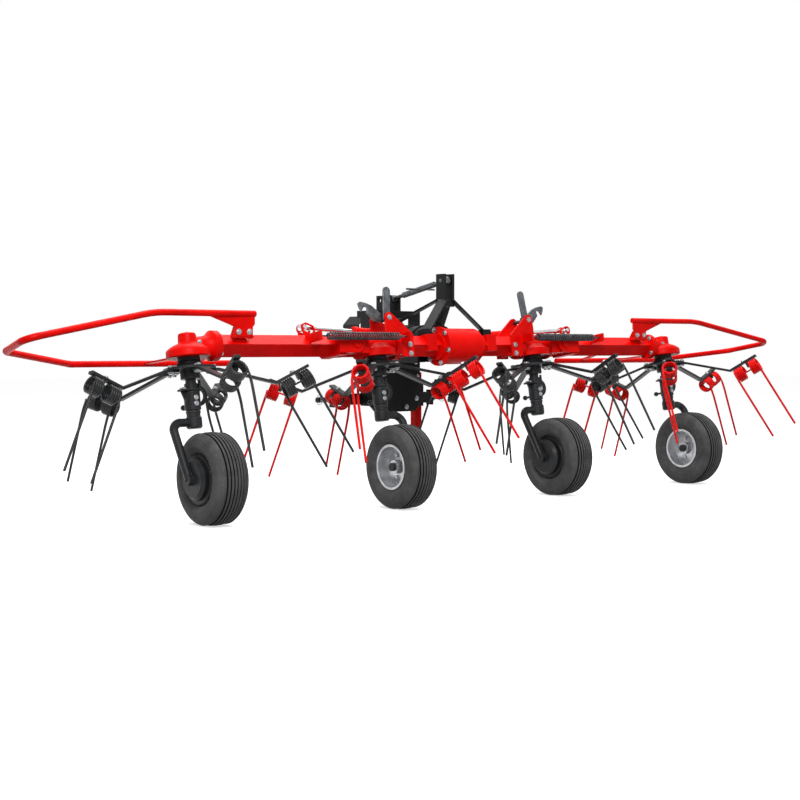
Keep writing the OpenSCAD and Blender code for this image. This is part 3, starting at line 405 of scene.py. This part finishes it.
# Bright zinc gives small, pale points of light on the red and the black.
bolt_zinc = coated("bright_zinc", "#9a9c9f", "#b3b5b8", "#7c7e81", roughness=0.3, patch_mm=12.0,
                   peel_mm=1.5, peel_depth=0.0001, metallic=0.9)
backward = -beam_frame.col[1].to_3d()
upward = beam_frame.col[2].to_3d()
frame_bolts = flange_ring(DRUM_FLANGE, DRUM_CIRCLE, DRUM_BOLTS, DRUM_FIRST, -1)
for side in (-1, 1):
    frame_bolts += flange_ring(side * FLANGE_IN, FLANGE_CIRCLE, FLANGE_BOLTS, FLANGE_FIRST, -side)
    frame_bolts += [(leaning(side * LUG_TIE_X, LUG_FACE, z), backward) for z in LUG_TIE_Z]
    frame_bolts += [(leaning(side * LUG_X, LUG_FACE, LUG_Z), backward)]
    frame_bolts += [((side * x, HEAD_FACE, z), (0.0, -1.0, 0.0)) for x, z in HEAD_BOLTS]
hex_bolts("frame_bolts", frame_bolts, "frame")
for side, body in ((-1, "wing_l"), (1, "wing_r")):
    spots = flange_ring(side * WING_FLANGE, FLANGE_CIRCLE, FLANGE_BOLTS, FLANGE_FIRST, -side)
    hex_bolts(f"{body}_bolts", spots, body)
for i, x in enumerate(ROTOR_X):
    spots = []
    for k in range(ARM_COUNT):
        turn = math.radians(ROTOR_PHASE[i] + k * 360.0 / ARM_COUNT)
        for r in ARM_BOLT_R:
            spots.append((leaning(x + r * math.cos(turn), r * math.sin(turn), PLATE_TOP), upward))
            spots.append((leaning(x + r * math.cos(turn), r * math.sin(turn), ARM_UNDER), -upward))
        clamp = holder(i, k)
        spots.append((clamp @ Vector((COIL_OUT - COIL_GAP / 2, 0.0, ARM_T / 2)), clamp.col[2].to_3d()))
    hex_bolts(f"rotor_bolts_{i + 1}", spots, f"rotor_{i + 1}")


# Columns
# Each rotor turns on a forged column, whose lower end is clamped in the swivel's turned sleeve.
# A bracket, a gusset and a horseshoe ear are welded to it, in the same dark grey paint.
COLUMN_BODY = ["wing_l", "frame", "frame", "wing_r"]
COLUMN_R = 0.0243
SLEEVE_R = 0.0365
SLEEVE_TOP = -0.203
SLEEVE_LOW = -0.289
SLEEVE_CHAMFER = 0.005
SLEEVE_BOLT_Y = -SLEEVE_R + 0.0005
SLEEVE_BOLT_Z = (-0.235, -0.262)
BRACKET_T = 0.008
BRACKET_X = (-0.048, 0.028)
BRACKET_HALF = 0.018
BRACKET_CORNER = 0.012
BRACKET_STEPS = 5
BRACKET_BOLT = Vector((-0.043, 0.012, SLEEVE_TOP + BRACKET_T))
GUSSET_OUT = -0.056
GUSSET_IN = -SLEEVE_R + 0.004
GUSSET_LOW = -0.262
EAR_AT = (0.030, -0.226)
EAR_OUT = 0.047
EAR_IN = 0.029
EAR_T = 0.013
EAR_ENDS = (-80.0, 100.0)
EAR_STEPS = 14
LOCK_ROD_AT = (0.033, -0.016, 0.0)
SWIVEL_R = 0.0312
BOSS_R = SWIVEL_R + 0.005
SWIVEL_RING_R = SWIVEL_R + 0.0025
UNDER_SKIN = SWIVEL_R - 0.001
SMOOTH_BELOW = math.radians(35.0)
COLUMN_BOLT_SCALE = 0.85


def slab(outline, thickness, place):
    """Shell of a flat outline in the place's X and Y, thickened both ways along its Z."""
    n = len(outline)
    vertices = [place @ Vector((u, v, w)) for w in (-thickness / 2, thickness / 2) for u, v in outline]
    faces = [tuple(reversed(range(n))), tuple(range(n, 2 * n))]
    faces += [(k, (k + 1) % n, n + (k + 1) % n, n + k) for k in range(n)]
    return vertices, faces


def assembled(name, shells, material, body, edge=0.0):
    """One piece from closed shells, with its sharp edges broken by a small bevel."""
    shape = bmesh.new()
    for vertices, faces in shells:
        corners = [shape.verts.new(v) for v in vertices]
        for face in faces:
            shape.faces.new([corners[k] for k in face])
    bmesh.ops.recalc_face_normals(shape, faces=shape.faces)
    if edge:
        sharp = [e for e in shape.edges if e.calc_face_angle(0.0) > SMOOTH_BELOW]
        bmesh.ops.bevel(shape, geom=sharp, offset=edge, segments=2, affect="EDGES", clamp_overlap=True)
    mesh = bpy.data.meshes.new(name)
    shape.to_mesh(mesh)
    shape.free()
    mesh.shade_smooth()
    mesh.set_sharp_from_angle(angle=SMOOTH_BELOW)
    return placed(name, mesh, material, body)


def arc(centre, radius, first, last, steps):
    """Points of a flat arc between two angles in degrees."""
    angles = [math.radians(first + (last - first) * k / steps) for k in range(steps + 1)]
    return [(centre[0] + radius * math.cos(a), centre[1] + radius * math.sin(a)) for a in angles]


upright = Matrix.Rotation(math.radians(90.0), 4, "X")
sleeve = [(COLUMN_R, SLEEVE_LOW), (SLEEVE_R, SLEEVE_LOW), (SLEEVE_R, SLEEVE_TOP - SLEEVE_CHAMFER),
          (SLEEVE_R - SLEEVE_CHAMFER, SLEEVE_TOP), (COLUMN_R, SLEEVE_TOP)]
clamp_ring = [(0.0275, -0.196), (0.0305, -0.193), (0.0305, -0.172), (0.0275, -0.169)]
bracket = []
for x, y, first in ((BRACKET_X[1], BRACKET_HALF, 0.0), (BRACKET_X[0], BRACKET_HALF, 90.0),
                    (BRACKET_X[0], -BRACKET_HALF, 180.0), (BRACKET_X[1], -BRACKET_HALF, 270.0)):
    bracket += arc((x, y), BRACKET_CORNER, first, first + 90.0, BRACKET_STEPS)
gusset = [(GUSSET_OUT, SLEEVE_TOP), (GUSSET_IN, SLEEVE_TOP), (GUSSET_IN, GUSSET_LOW)]
ear = arc(EAR_AT, EAR_OUT, *EAR_ENDS, EAR_STEPS) + arc(EAR_AT, EAR_IN, *reversed(EAR_ENDS), EAR_STEPS)
lock_rod = [(0.0065, SLEEVE_TOP - 0.004), (0.0065, -0.160), (0.0045, -0.157)]
boss = [(UNDER_SKIN, -0.371), (BOSS_R, -0.366), (BOSS_R, -0.324), (UNDER_SKIN, -0.317)]
swivel_ring = [(UNDER_SKIN, -0.304), (SWIVEL_RING_R, -0.3025), (SWIVEL_RING_R, -0.2955), (UNDER_SKIN, -0.294)]
neck = [(0.0506, -0.098), (0.078, -0.0995), (0.074, -0.094), (0.056, -0.082), (0.0506, -0.068)]
for i, x in enumerate(ROTOR_X):
    at = beam_frame @ Matrix.Translation((x, 0.0, 0.0))
    shells = [lathe(sleeve, at), lathe(clamp_ring, at),
              slab(bracket, BRACKET_T, at @ Matrix.Translation((0.0, 0.0, SLEEVE_TOP + BRACKET_T / 2))),
              slab(gusset, BRACKET_T, at @ upright), slab(ear, EAR_T, at @ upright),
              lathe(lock_rod, at @ Matrix.Translation(LOCK_ROD_AT), segments=16)]
    assembled(f"column_clamp_{i + 1}", shells, dark_paint, COLUMN_BODY[i], edge=0.0012)
    assembled(f"swivel_boss_{i + 1}", [lathe(boss, at), lathe(swivel_ring, at)], dark_paint,
              f"caster_{i + 1}", edge=0.001)
    assembled(f"rotor_neck_{i + 1}", [lathe(neck, at, segments=48)], dark_paint, f"rotor_{i + 1}")
    spots = [(at @ Vector((BRACKET_BOLT.x, y, BRACKET_BOLT.z)), upward)
             for y in (-BRACKET_BOLT.y, BRACKET_BOLT.y)]
    spots += [(at @ Vector((0.0, SLEEVE_BOLT_Y, z)), backward) for z in SLEEVE_BOLT_Z]
    hex_bolts(f"column_bolts_{i + 1}", spots, COLUMN_BODY[i], COLUMN_BOLT_SCALE)


# Outer gearboxes
# A cast housing ends each wing: a shallow dome over the rotor, a bearing cap on it and a bell to the flange.
# The casting is machined at the flange and carries the same red enamel as the beam.
OUTER_X = ROTOR_X[3]
BELL_LEN = 0.130
DOME = [(0.095, -0.054), (0.100, -0.050), (0.100, -0.024), (0.096, -0.017), (0.082, -0.006), (0.066, 0.003),
        (0.050, 0.008), (0.046, 0.012)]
CAP = [(0.043, 0.0), (0.041, 0.046), (0.039, 0.053), (0.034, 0.057), (0.020, 0.058), (0.018, 0.055)]
BELL = [(0.036, 0.0), (0.041, 0.030), (0.044, 0.070), (0.050, 0.092), (0.060, 0.106), (0.070, 0.114),
        (0.0705, 0.116), (0.0705, BELL_LEN - 0.001), (0.069, BELL_LEN)]
CAST_RIB = [(0.040, -0.018), (0.112, -0.064), (0.116, -0.020)]
CAST_RIB_T = 0.010
OIL_PLUG = Vector((0.038, -0.0425, 0.012))
CAP_PLUG = Vector((0.0, 0.0, 0.0555))
PLUG_SCALE = 0.8
for side, number, body in ((-1, 1, "wing_l"), (1, 4, "wing_r")):
    at = beam_frame @ Matrix.Translation((side * OUTER_X, 0.0, 0.0))
    inward = at @ Matrix.Rotation(math.radians(-90.0 * side), 4, "Y")
    rib = [(-side * u, v) for u, v in CAST_RIB]
    shells = [lathe(DOME, at, segments=64), lathe(CAP, at, segments=48), lathe(BELL, inward, segments=48),
              slab(rib, CAST_RIB_T, at @ upright)]
    housing = assembled(f"outer_gearbox_{number}", shells, red_enamel, body)
    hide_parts(f"gearbox_{number}")
    plugs = [(at @ Vector((-side * OIL_PLUG.x, OIL_PLUG.y, OIL_PLUG.z)), backward), (at @ CAP_PLUG, upward)]
    hex_bolts(f"gearbox_plugs_{number}", plugs, body, PLUG_SCALE)


# Drive shaft
# The stub that takes the tractor's drive is a bare ground shaft, with six splines cut in its free end.
# It comes out of the housing's boss through a black moulded seal.
SHAFT_R = 0.0182
SHAFT_START = 0.145
SHAFT_END = 0.7005
SHAFT_CHAMFER = 0.001
SPLINE_START = 0.602
SPLINE_OVERLAP = 0.004
SPLINES = 6
TOOTH_R = SHAFT_R + 0.0022
TOOTH_HALF = 14.0
VALLEY_R = SHAFT_R - 0.0005
VALLEY_HALF = 12.0
SPLINE_STEPS = 3
SEAL = [(0.030, 0.138), (0.044, 0.140), (0.044, 0.152), (0.036, 0.158), (0.022, 0.158)]

# Ground steel without paint gives a bright, clean metal beside the red and the black.
bare_steel = coated("ground_bare_steel", "#a4a6a8", "#b9bbbd", "#8b8d8f", roughness=0.25, patch_mm=30.0,
                    peel_mm=1.5, peel_depth=0.0001, metallic=1.0)
forward = Matrix.Translation((0.0, 0.0, BEAM_Z)) @ Matrix.Rotation(math.radians(-90.0), 4, "X")
plain = [(SHAFT_R - SHAFT_CHAMFER, SHAFT_START), (SHAFT_R, SHAFT_START + SHAFT_CHAMFER),
         (SHAFT_R, SPLINE_START + SPLINE_OVERLAP)]
teeth = []
for k in range(SPLINES):
    tooth = 360.0 * k / SPLINES
    valley = tooth + 180.0 / SPLINES
    teeth += arc((0.0, 0.0), TOOTH_R, tooth - TOOTH_HALF, tooth + TOOTH_HALF, SPLINE_STEPS)
    teeth += arc((0.0, 0.0), VALLEY_R, valley - VALLEY_HALF, valley + VALLEY_HALF, SPLINE_STEPS)
splined = slab(teeth, SHAFT_END - SPLINE_START,
               forward @ Matrix.Translation((0.0, 0.0, (SPLINE_START + SHAFT_END) / 2)))
assembled("drive_shaft", [lathe(plain, forward), splined], bare_steel, "frame", edge=0.0006)
assembled("drive_seal", [lathe(SEAL, forward)], black_plastic, "frame")


# Link pins
# Turned collars and ring-handled pins keep the tractor's lower links on the cross tube's ends.
# Two bolts through its sleeve hold the parking leg.
LINK_AT = Vector((0.3415, 0.625, 0.500))
INNER_COLLAR = [(0.0145, 0.012), (0.021, 0.0125), (0.021, 0.0195), (0.0145, 0.020)]
OUTER_COLLAR = [(0.0145, 0.078), (0.0165, 0.079), (0.0165, 0.085), (0.0145, 0.086)]
PIN_RING_OUT = 0.082
PIN_RING_R = 0.026
PIN_RING_WIRE_R = 0.0022
PIN_RING_STEPS = 32
LEG_BOLT = Vector((0.2517, 0.680, 0.545))
LEG_BOLT_DROP = Vector((0.0, 0.0, -0.060))
collars, rings = [], []
for side in (-1, 1):
    outward = (Matrix.Translation((side * LINK_AT.x, LINK_AT.y, LINK_AT.z))
               @ Matrix.Rotation(math.radians(90.0 * side), 4, "Y"))
    collars += [lathe(INNER_COLLAR, outward), lathe(OUTER_COLLAR, outward)]
    hole = Vector((side * (LINK_AT.x + PIN_RING_OUT), LINK_AT.y, LINK_AT.z))
    turns = [2 * math.pi * k / PIN_RING_STEPS for k in range(PIN_RING_STEPS + 1)]
    rings.append([hole + PIN_RING_R * Vector((0.0, math.cos(a), math.sin(a))) for a in turns])
assembled("link_collars", collars, zinc_plate, "frame", edge=0.0006)
bent_wire("ring_pins", rings, PIN_RING_WIRE_R, bolt_zinc, "frame")
leg_bolts = [(place, (-1.0, 0.0, 0.0)) for place in (LEG_BOLT, LEG_BOLT + LEG_BOLT_DROP)]
hex_bolts("leg_pin", leg_bolts, "frame")


# Guards
# The upper guard is one bent tube on a pressed bracket, bolted through a pad to the wing's square tube.
# Bracket, gusset and tube are welded together and carry the same red enamel.
GUARD_R = 0.015
GUARD_TOP_Z = 0.932
GUARD_IN_X = 1.257
GUARD_LINE = [Vector((GUARD_IN_X, -0.058, GUARD_TOP_Z)), Vector((1.778, -0.076, GUARD_TOP_Z)),
              Vector((2.398, -0.135, 0.812))]
GUARD_BUTT = 0.090
GUARD_BEND_R = 0.06
GUARD_BEND_STEPS = 10
POST_X = 1.320
PLATE_T = 0.010
PAD = [(-0.030, -0.022), (0.030, -0.022), (0.030, 0.022), (-0.030, 0.022)]
PAD_OUT = 0.0373
SHELF = [(-0.052, -0.0652), (0.052, -0.0652), (0.052, -0.0249), (-0.052, -0.0249)]
SHELF_Z = 0.826
WEB = [(GUARD_IN_X + 0.004, GUARD_TOP_Z), (GUARD_IN_X + 0.004, 0.884), (1.272, 0.872), (1.272, SHELF_Z),
       (1.368, SHELF_Z), (1.368, 0.872), (1.40, 0.884), (1.525, GUARD_TOP_Z - 0.004)]
WEB_Y = -0.0602
CHEEK = [(-0.058, 0.819), (-0.024, 0.819), (-0.024, 0.838), (-0.046, 0.874), (-0.058, 0.874)]
CHEEK_T = 0.008
CHEEK_X = 0.044
WEB_BOLT_X = 0.028
WEB_BOLT_Z = 0.850
# Turns an outline of (Y, Z) points to stand across the beam
ACROSS = Matrix(((0, 0, 1, 0), (1, 0, 0, 0), (0, 1, 0, 0), (0, 0, 0, 1)))
MIRROR = {side: Matrix.Diagonal((side, 1.0, 1.0, 1.0)) for side in (-1, 1)}

guard_stop = GUARD_LINE[2] + (GUARD_LINE[1] - GUARD_LINE[2]).normalized() * GUARD_BUTT
guard_corner = bend(GUARD_LINE[0], GUARD_LINE[1], guard_stop, GUARD_BEND_R, GUARD_BEND_STEPS)
guard_route = [GUARD_LINE[0], *guard_corner, guard_stop]
for side, name, body in ((-1, "left", "wing_l"), (1, "right", "wing_r")):
    flip = MIRROR[side]
    tube = bent_wire(f"guard_tube_{name}", [[flip @ p for p in guard_route]], GUARD_R, red_enamel, body,
                     resolution=6)
    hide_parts(f"guard_top_{name}")
    on_tube = flip @ beam_frame @ Matrix.Translation((POST_X, 0.0, 0.0))
    on_pad = on_tube @ Matrix.Rotation(math.radians(45.0), 4, "X")
    shells = [slab(PAD, PLATE_T, on_pad @ Matrix.Translation((0.0, 0.0, PAD_OUT + PLATE_T / 2))),
              slab(SHELF, PLATE_T, flip @ Matrix.Translation((POST_X, 0.0, SHELF_Z))),
              slab(WEB, PLATE_T, flip @ Matrix.Translation((0.0, WEB_Y, 0.0)) @ upright)]
    for x in (-CHEEK_X, CHEEK_X):
        shells.append(slab(CHEEK, CHEEK_T, flip @ Matrix.Translation((POST_X + x, 0.0, 0.0)) @ ACROSS))
    assembled(f"guard_bracket_{name}", shells, red_enamel, body, edge=0.0015)
    spots = [((side * (POST_X + x), WEB_Y - PLATE_T / 2, WEB_BOLT_Z), (0.0, -1.0, 0.0))
             for x in (-WEB_BOLT_X, WEB_BOLT_X)]
    hex_bolts(f"guard_bolts_{name}", spots, body)


# Latch hooks
# A hook plate and its upright lever are cut from zinc-plated plate and turn on a bolt between the lug plates.
# Two red webs, welded to the beam's lugs, stand each side of them.
HOOK = [(0.027, 0.030), (0.073, 0.064), (0.107, 0.077), (0.141, 0.083), (0.154, 0.074), (0.149, 0.056),
        (0.138, 0.033), (0.125, 0.053), (0.104, 0.059), (0.100, 0.047), (0.107, 0.030), (0.067, -0.012),
        (0.018, -0.020), (-0.016, -0.014), (-0.016, 0.016)]
HOOK_T = 0.012
HOOK_BACK = 0.020
LEVER_HALF = 0.021
LEVER_LOW = -0.012
LEVER_TOP = 0.138
LEVER_T = 0.010
LEVER_BACK = 0.038
LEVER_LEAN = math.radians(7.0)
LEVER_STEPS = 12
LATCH_BOLT = [(0.010, -0.050), (0.010, 0.050)]
LUG_WEB = [(-0.012, 0.0), (0.022, -0.004), (0.030, -0.030), (0.030, -0.076), (-0.064, -0.076),
           (-0.058, -0.050)]
LUG_WEB_T = 0.0096
LUG_Y = 0.059

lever = [(-LEVER_HALF, LEVER_LOW), (LEVER_HALF, LEVER_LOW),
         *arc((0.0, LEVER_TOP), LEVER_HALF, 0.0, 180.0, LEVER_STEPS)]
for side, name in ((-1, "left"), (1, "right")):
    at = beam_frame @ Matrix.Translation((side * LUG_X, 0.0, LUG_Z)) @ MIRROR[side] @ upright
    lean = Matrix.Rotation(LEVER_LEAN, 4, "Z")
    shells = [slab(HOOK, HOOK_T, at @ Matrix.Translation((0.0, 0.0, HOOK_BACK))),
              slab(lever, LEVER_T, at @ Matrix.Translation((0.0, 0.0, LEVER_BACK)) @ lean),
              lathe(LATCH_BOLT, at, segments=16)]
    hook = assembled(f"latch_hook_{name}", shells, zinc_plate, "frame", edge=0.001)
    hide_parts(f"latch_{name}")
    webs = [slab(LUG_WEB, LUG_WEB_T, at @ Matrix.Translation((0.0, 0.0, y))) for y in (-LUG_Y, LUG_Y)]
    assembled(f"lug_webs_{name}", webs, red_enamel, "frame", edge=0.0015)


# Balance springs
# A close-wound tension spring behind each hinge takes part of the wing's weight while it folds.
# Its drawn-out ends hook into an anchor on the frame and one on the wing.
SPRING_IN = 0.416
SPRING_OUT = 0.935
SPRING_AT = Vector((0.0, -0.120, 0.030))
SPRING_MID = 0.0158
SPRING_WIRE_R = 0.0043
SPRING_TURNS = 31
SPRING_HOOK = 0.038
HOOK_STRAIGHT = SPRING_HOOK * 0.6

# Oiled spring steel gives a dark, silky metal with a glint on every turn.
spring_black = coated("oiled_spring_steel", "#3a3c3f", "#4b4e51", "#292b2d", roughness=0.3, patch_mm=30.0,
                      peel_mm=2.0, peel_depth=0.0001, metallic=0.6)
spring_steps = SPRING_TURNS * STEPS_PER_TURN
wound = SPRING_OUT - SPRING_IN - 2 * SPRING_HOOK
spring_line = [Vector((SPRING_IN, 0.0, 0.0)), Vector((SPRING_IN + HOOK_STRAIGHT, 0.0, 0.0))]
for k in range(spring_steps + 1):
    angle = 2 * math.pi * SPRING_TURNS * k / spring_steps
    radius = SPRING_MID * min(1.0, k / STEPS_PER_TURN, (spring_steps - k) / STEPS_PER_TURN)
    spring_line.append(Vector((SPRING_IN + SPRING_HOOK + wound * k / spring_steps,
                               radius * math.cos(angle), radius * math.sin(angle))))
spring_line += [Vector((SPRING_OUT - HOOK_STRAIGHT, 0.0, 0.0)), Vector((SPRING_OUT, 0.0, 0.0))]
for side, name in ((-1, "left"), (1, "right")):
    points = [beam_frame @ (Vector((side * p.x, p.y, p.z)) + SPRING_AT) for p in spring_line]
    spring = bent_wire(f"balance_spring_{name}", [points], SPRING_WIRE_R, spring_black,
                       f"balance_{name[0]}", resolution=2)
    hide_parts(f"spring_{name}")
    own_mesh(spring)


# Tyres
# Low-pressure implement tyres of moulded rubber, each seated between its rim's flanges.
# A rounded carcass carries seven smooth ribs round the tread, which roll over turf without cutting it.
TYRE_R = joint_at["wheel_1_roll"].z
WHEEL_Y = joint_at["wheel_1_roll"].y
TYRE_HALF = 0.0825
RIM_R = 0.1015
BEAD_HALF = 0.0594
BEAD = [(RIM_R + 0.0003, BEAD_HALF), (RIM_R + 0.0095, BEAD_HALF)]
WALL_AT = (RIM_R + 0.053, TYRE_HALF - 0.043)
WALL_BULGE = (0.050, 0.041)
WALL_FIRST = -38.0
WALL_SWEEP = 108.0
WALL_STEPS = 24
WALL_RIDGE = 0.0016
RIDGE_STEPS = (5, 6, 14, 15)
TREAD_HALF = 0.056
RIBS = 7
RIB_PITCH = 2 * TREAD_HALF / RIBS
RIB_HALF = RIB_PITCH * 0.33
RIB_FLAT = RIB_HALF * 0.75
RIB_ROUND = 0.0012
# Of the six faces across a rib and its groove, the last three lie in the groove
FACES_PER_RIB = 6
GROOVE_FACES = (3, 4, 5)
CROWN_DROP = 0.010
GROOVE_DEPTH = 0.011
GROOVE_SLOPE = 0.0015
SEGMENTS = 128


def tyre_wall():
    """Bead, bulging wall and rounded shoulder on one side."""
    wall = list(BEAD)
    for k in range(WALL_STEPS + 1):
        angle = math.radians(WALL_FIRST + WALL_SWEEP * k / WALL_STEPS)
        ridge = WALL_RIDGE if k in RIDGE_STEPS else 0.0
        wall.append((WALL_AT[0] + WALL_BULGE[0] * math.sin(angle),
                     WALL_AT[1] + WALL_BULGE[1] * math.cos(angle) + ridge))
    return wall


def tyre_tread():
    """Ribs from one shoulder to the other, with a groove after each but the last."""
    tread = []
    for rib in range(RIBS):
        centre = TREAD_HALF - RIB_PITCH * (rib + 0.5)
        crown = TYRE_R - CROWN_DROP * (centre / TREAD_HALF) ** 2
        tread += [(crown - RIB_ROUND, centre + RIB_HALF), (crown, centre + RIB_FLAT),
                  (crown, centre - RIB_FLAT), (crown - RIB_ROUND, centre - RIB_HALF)]
        if rib < RIBS - 1:
            tread += [(crown - GROOVE_DEPTH, centre - RIB_HALF - GROOVE_SLOPE),
                      (crown - GROOVE_DEPTH, centre - RIB_PITCH + RIB_HALF + GROOVE_SLOPE)]
    return tread


def rolled(name, outline, x, material, body):
    """Closed outline of (radius, place along the axle) turned about a wheel's axle."""
    vertices, faces = [], []
    n = len(outline)
    for k in range(SEGMENTS):
        angle = 2 * math.pi * k / SEGMENTS
        for r, along in outline:
            vertices.append((x + along, WHEEL_Y + r * math.cos(angle), TYRE_R + r * math.sin(angle)))
    for k in range(SEGMENTS):
        a, b = k * n, ((k + 1) % SEGMENTS) * n
        for j in range(n):
            m = (j + 1) % n
            faces.append((a + j, a + m, b + m, b + j))
    mesh = bpy.data.meshes.new(name)
    mesh.from_pydata(vertices, [], faces)
    mesh.shade_smooth()
    mesh.set_sharp_from_angle(angle=SMOOTH_BELOW)
    return placed(name, mesh, material, body)


# Tyre rubber gives a dusty mid grey where it is handled and rolled on.
tyre_rubber = coated("moulded_tyre_rubber", "#4c4c4c", "#59595a", "#3d3d3e", roughness=0.7, patch_mm=70.0,
                     peel_mm=1.6, peel_depth=0.0005, shine=0.2)
# The grooves get the same rubber painted near black and dull, a painted shade in the recesses between the
# ribs.
groove_rubber = coated("groove_rubber_painted_shade", "#161617", "#1c1c1d", "#101011", roughness=0.85,
                       patch_mm=40.0, peel_mm=1.6, peel_depth=0.0004, shine=0.1)
wall = tyre_wall()
tyre_outline = wall + tyre_tread() + [(r, -along) for r, along in reversed(wall)]
in_groove = {len(wall) + FACES_PER_RIB * rib + k for rib in range(RIBS - 1) for k in GROOVE_FACES}
for i, x in enumerate(ROTOR_X):
    tyre = rolled(f"ribbed_tyre_{i + 1}", tyre_outline, x, tyre_rubber, f"wheel_{i + 1}")
    # Faces in the grooves take the second material, the near-black painted shade.
    tyre.data.materials.append(groove_rubber)
    for face in tyre.data.polygons:
        if face.index % len(tyre_outline) in in_groove:
            face.material_index = 1
    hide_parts(f"tyre_{i + 1}")


# Rims
# Each rim is a rolled well with a pressed disc welded into it, and turns on a plain hub.
# Well, disc and hub are painted silver.

# Silver wheel paint gives a pale, slightly sparkling grey.
silver_paint = coated("silver_wheel_paint", "#b4b6b9", "#c6c8ca", "#97999c", roughness=0.34, patch_mm=60.0,
                      peel_mm=2.0, peel_depth=0.0002, metallic=0.75)
finish_nodes(silver_paint, "rim_1", "rim_2", "rim_3", "rim_4")


# Wheel covers
# On the crank's side a black moulded lip closes the rim, so that hay can't wind itself round the hub.
# It stays still with the crank while the wheel turns beside it.
CRANK_SIDE = [-1, 1, -1, 1]
COVER_LIP = [(0.086, 0.0672), (0.1120, 0.0672), (0.1125, 0.0690), (0.1080, 0.0735), (0.096, 0.0745),
             (0.086, 0.0745)]
for i, x in enumerate(ROTOR_X):
    outward = (Matrix.Translation((x, WHEEL_Y, TYRE_R))
               @ Matrix.Rotation(math.radians(90.0 * CRANK_SIDE[i]), 4, "Y"))
    assembled(f"wheel_cover_{i + 1}", [lathe(COVER_LIP, outward, segments=64)], black_plastic,
              f"caster_{i + 1}")


# Wheel nuts
# Five plated nuts on washers hold each rim's disc to its hub.
# They are on the open side of the wheel, away from the crank.
NUT_CIRCLE = 0.056
NUT_COUNT = 5
DISC_FACE = 0.0082
for i, x in enumerate(ROTOR_X):
    open_side = -CRANK_SIDE[i]
    nuts = []
    for k in range(NUT_COUNT):
        angle = 2 * math.pi * k / NUT_COUNT
        place = (x + open_side * DISC_FACE, WHEEL_Y + NUT_CIRCLE * math.cos(angle),
                 TYRE_R + NUT_CIRCLE * math.sin(angle))
        nuts.append((place, (open_side, 0.0, 0.0)))
    hex_bolts(f"wheel_nuts_{i + 1}", nuts, f"wheel_{i + 1}")


# Studio
# A white floor and white surroundings, as the camera and polished metal see them, under plain soft light.
# For the light that bounces onto the object the floor is a mid grey, so that undersides keep their colour.
FLOOR_HALF = 30.0
FLOOR_GLOW = 0.62
WORLD_LIGHT = 0.4
WHITE = (1.0, 1.0, 1.0, 1.0)
AIM = Vector((0.0, 0.0, 0.6))


def shown_rays(tree):
    """1 for rays that show the background: from the camera, off gloss or through glass."""
    seen = add(tree, "ShaderNodeLightPath")
    mirrored = add(tree, "ShaderNodeMath", {"operation": "MAXIMUM"},
                   (seen.outputs["Is Glossy Ray"], seen.outputs["Is Transmission Ray"]))
    shown = add(tree, "ShaderNodeMath", {"operation": "MAXIMUM"},
                (seen.outputs["Is Camera Ray"], mirrored.outputs["Value"]))
    return shown.outputs["Value"]


def softbox(name, place, size, power):
    """Large area light aimed at the middle of the object."""
    data = bpy.data.lights.new(name, "AREA")
    data.shape = "DISK"
    data.size = size
    data.energy = power
    lamp = bpy.data.objects.new(name, data)
    bpy.context.scene.collection.objects.link(lamp)
    lamp.location = place
    lamp.rotation_euler = (AIM - Vector(place)).to_track_quat("-Z", "Y").to_euler()


# White paper gives an even ground that still takes the object's soft shadow.
white_floor = bpy.data.materials.new("white_floor")
white_floor.use_nodes = True
tree = white_floor.node_tree
tree.nodes.clear()
paper = add(tree, "ShaderNodeBsdfDiffuse", {"Color": linear("#f4f4f4")})
glow = add(tree, "ShaderNodeEmission", {"Color": WHITE, "Strength": FLOOR_GLOW})
both = add(tree, "ShaderNodeAddShader", None, (paper.outputs["BSDF"], glow.outputs["Emission"]))
bounce = add(tree, "ShaderNodeBsdfDiffuse", {"Color": linear("#8a8a8a")})
choose = add(tree, "ShaderNodeMixShader", None,
             (shown_rays(tree), bounce.outputs["BSDF"], both.outputs["Shader"]))
add(tree, "ShaderNodeOutputMaterial", Surface=choose.outputs["Shader"])
floor_mesh = bpy.data.meshes.new("floor")
floor_mesh.from_pydata([(-FLOOR_HALF, -FLOOR_HALF, 0.0), (FLOOR_HALF, -FLOOR_HALF, 0.0),
                        (FLOOR_HALF, FLOOR_HALF, 0.0), (-FLOOR_HALF, FLOOR_HALF, 0.0)], [], [(0, 1, 2, 3)])
floor_mesh.materials.append(white_floor)
floor = bpy.data.objects.new("floor", floor_mesh)
bpy.context.scene.collection.objects.link(floor)

world = bpy.data.worlds.new("studio")
bpy.context.scene.world = world
world.use_nodes = True
tree = world.node_tree
tree.nodes.clear()
soft = add(tree, "ShaderNodeBackground", {"Color": WHITE, "Strength": WORLD_LIGHT})
white = add(tree, "ShaderNodeBackground", {"Color": WHITE, "Strength": 1.0})
mixed = add(tree, "ShaderNodeMixShader", None,
            (shown_rays(tree), soft.outputs["Background"], white.outputs["Background"]))
add(tree, "ShaderNodeOutputWorld", Surface=mixed.outputs["Shader"])

softbox("key_light", (-4.0, -5.0, 5.0), size=3.0, power=400.0)
softbox("top_light", (1.0, 1.5, 6.0), size=5.0, power=300.0)

scene = bpy.context.scene
scene.view_settings.view_transform = "Standard"
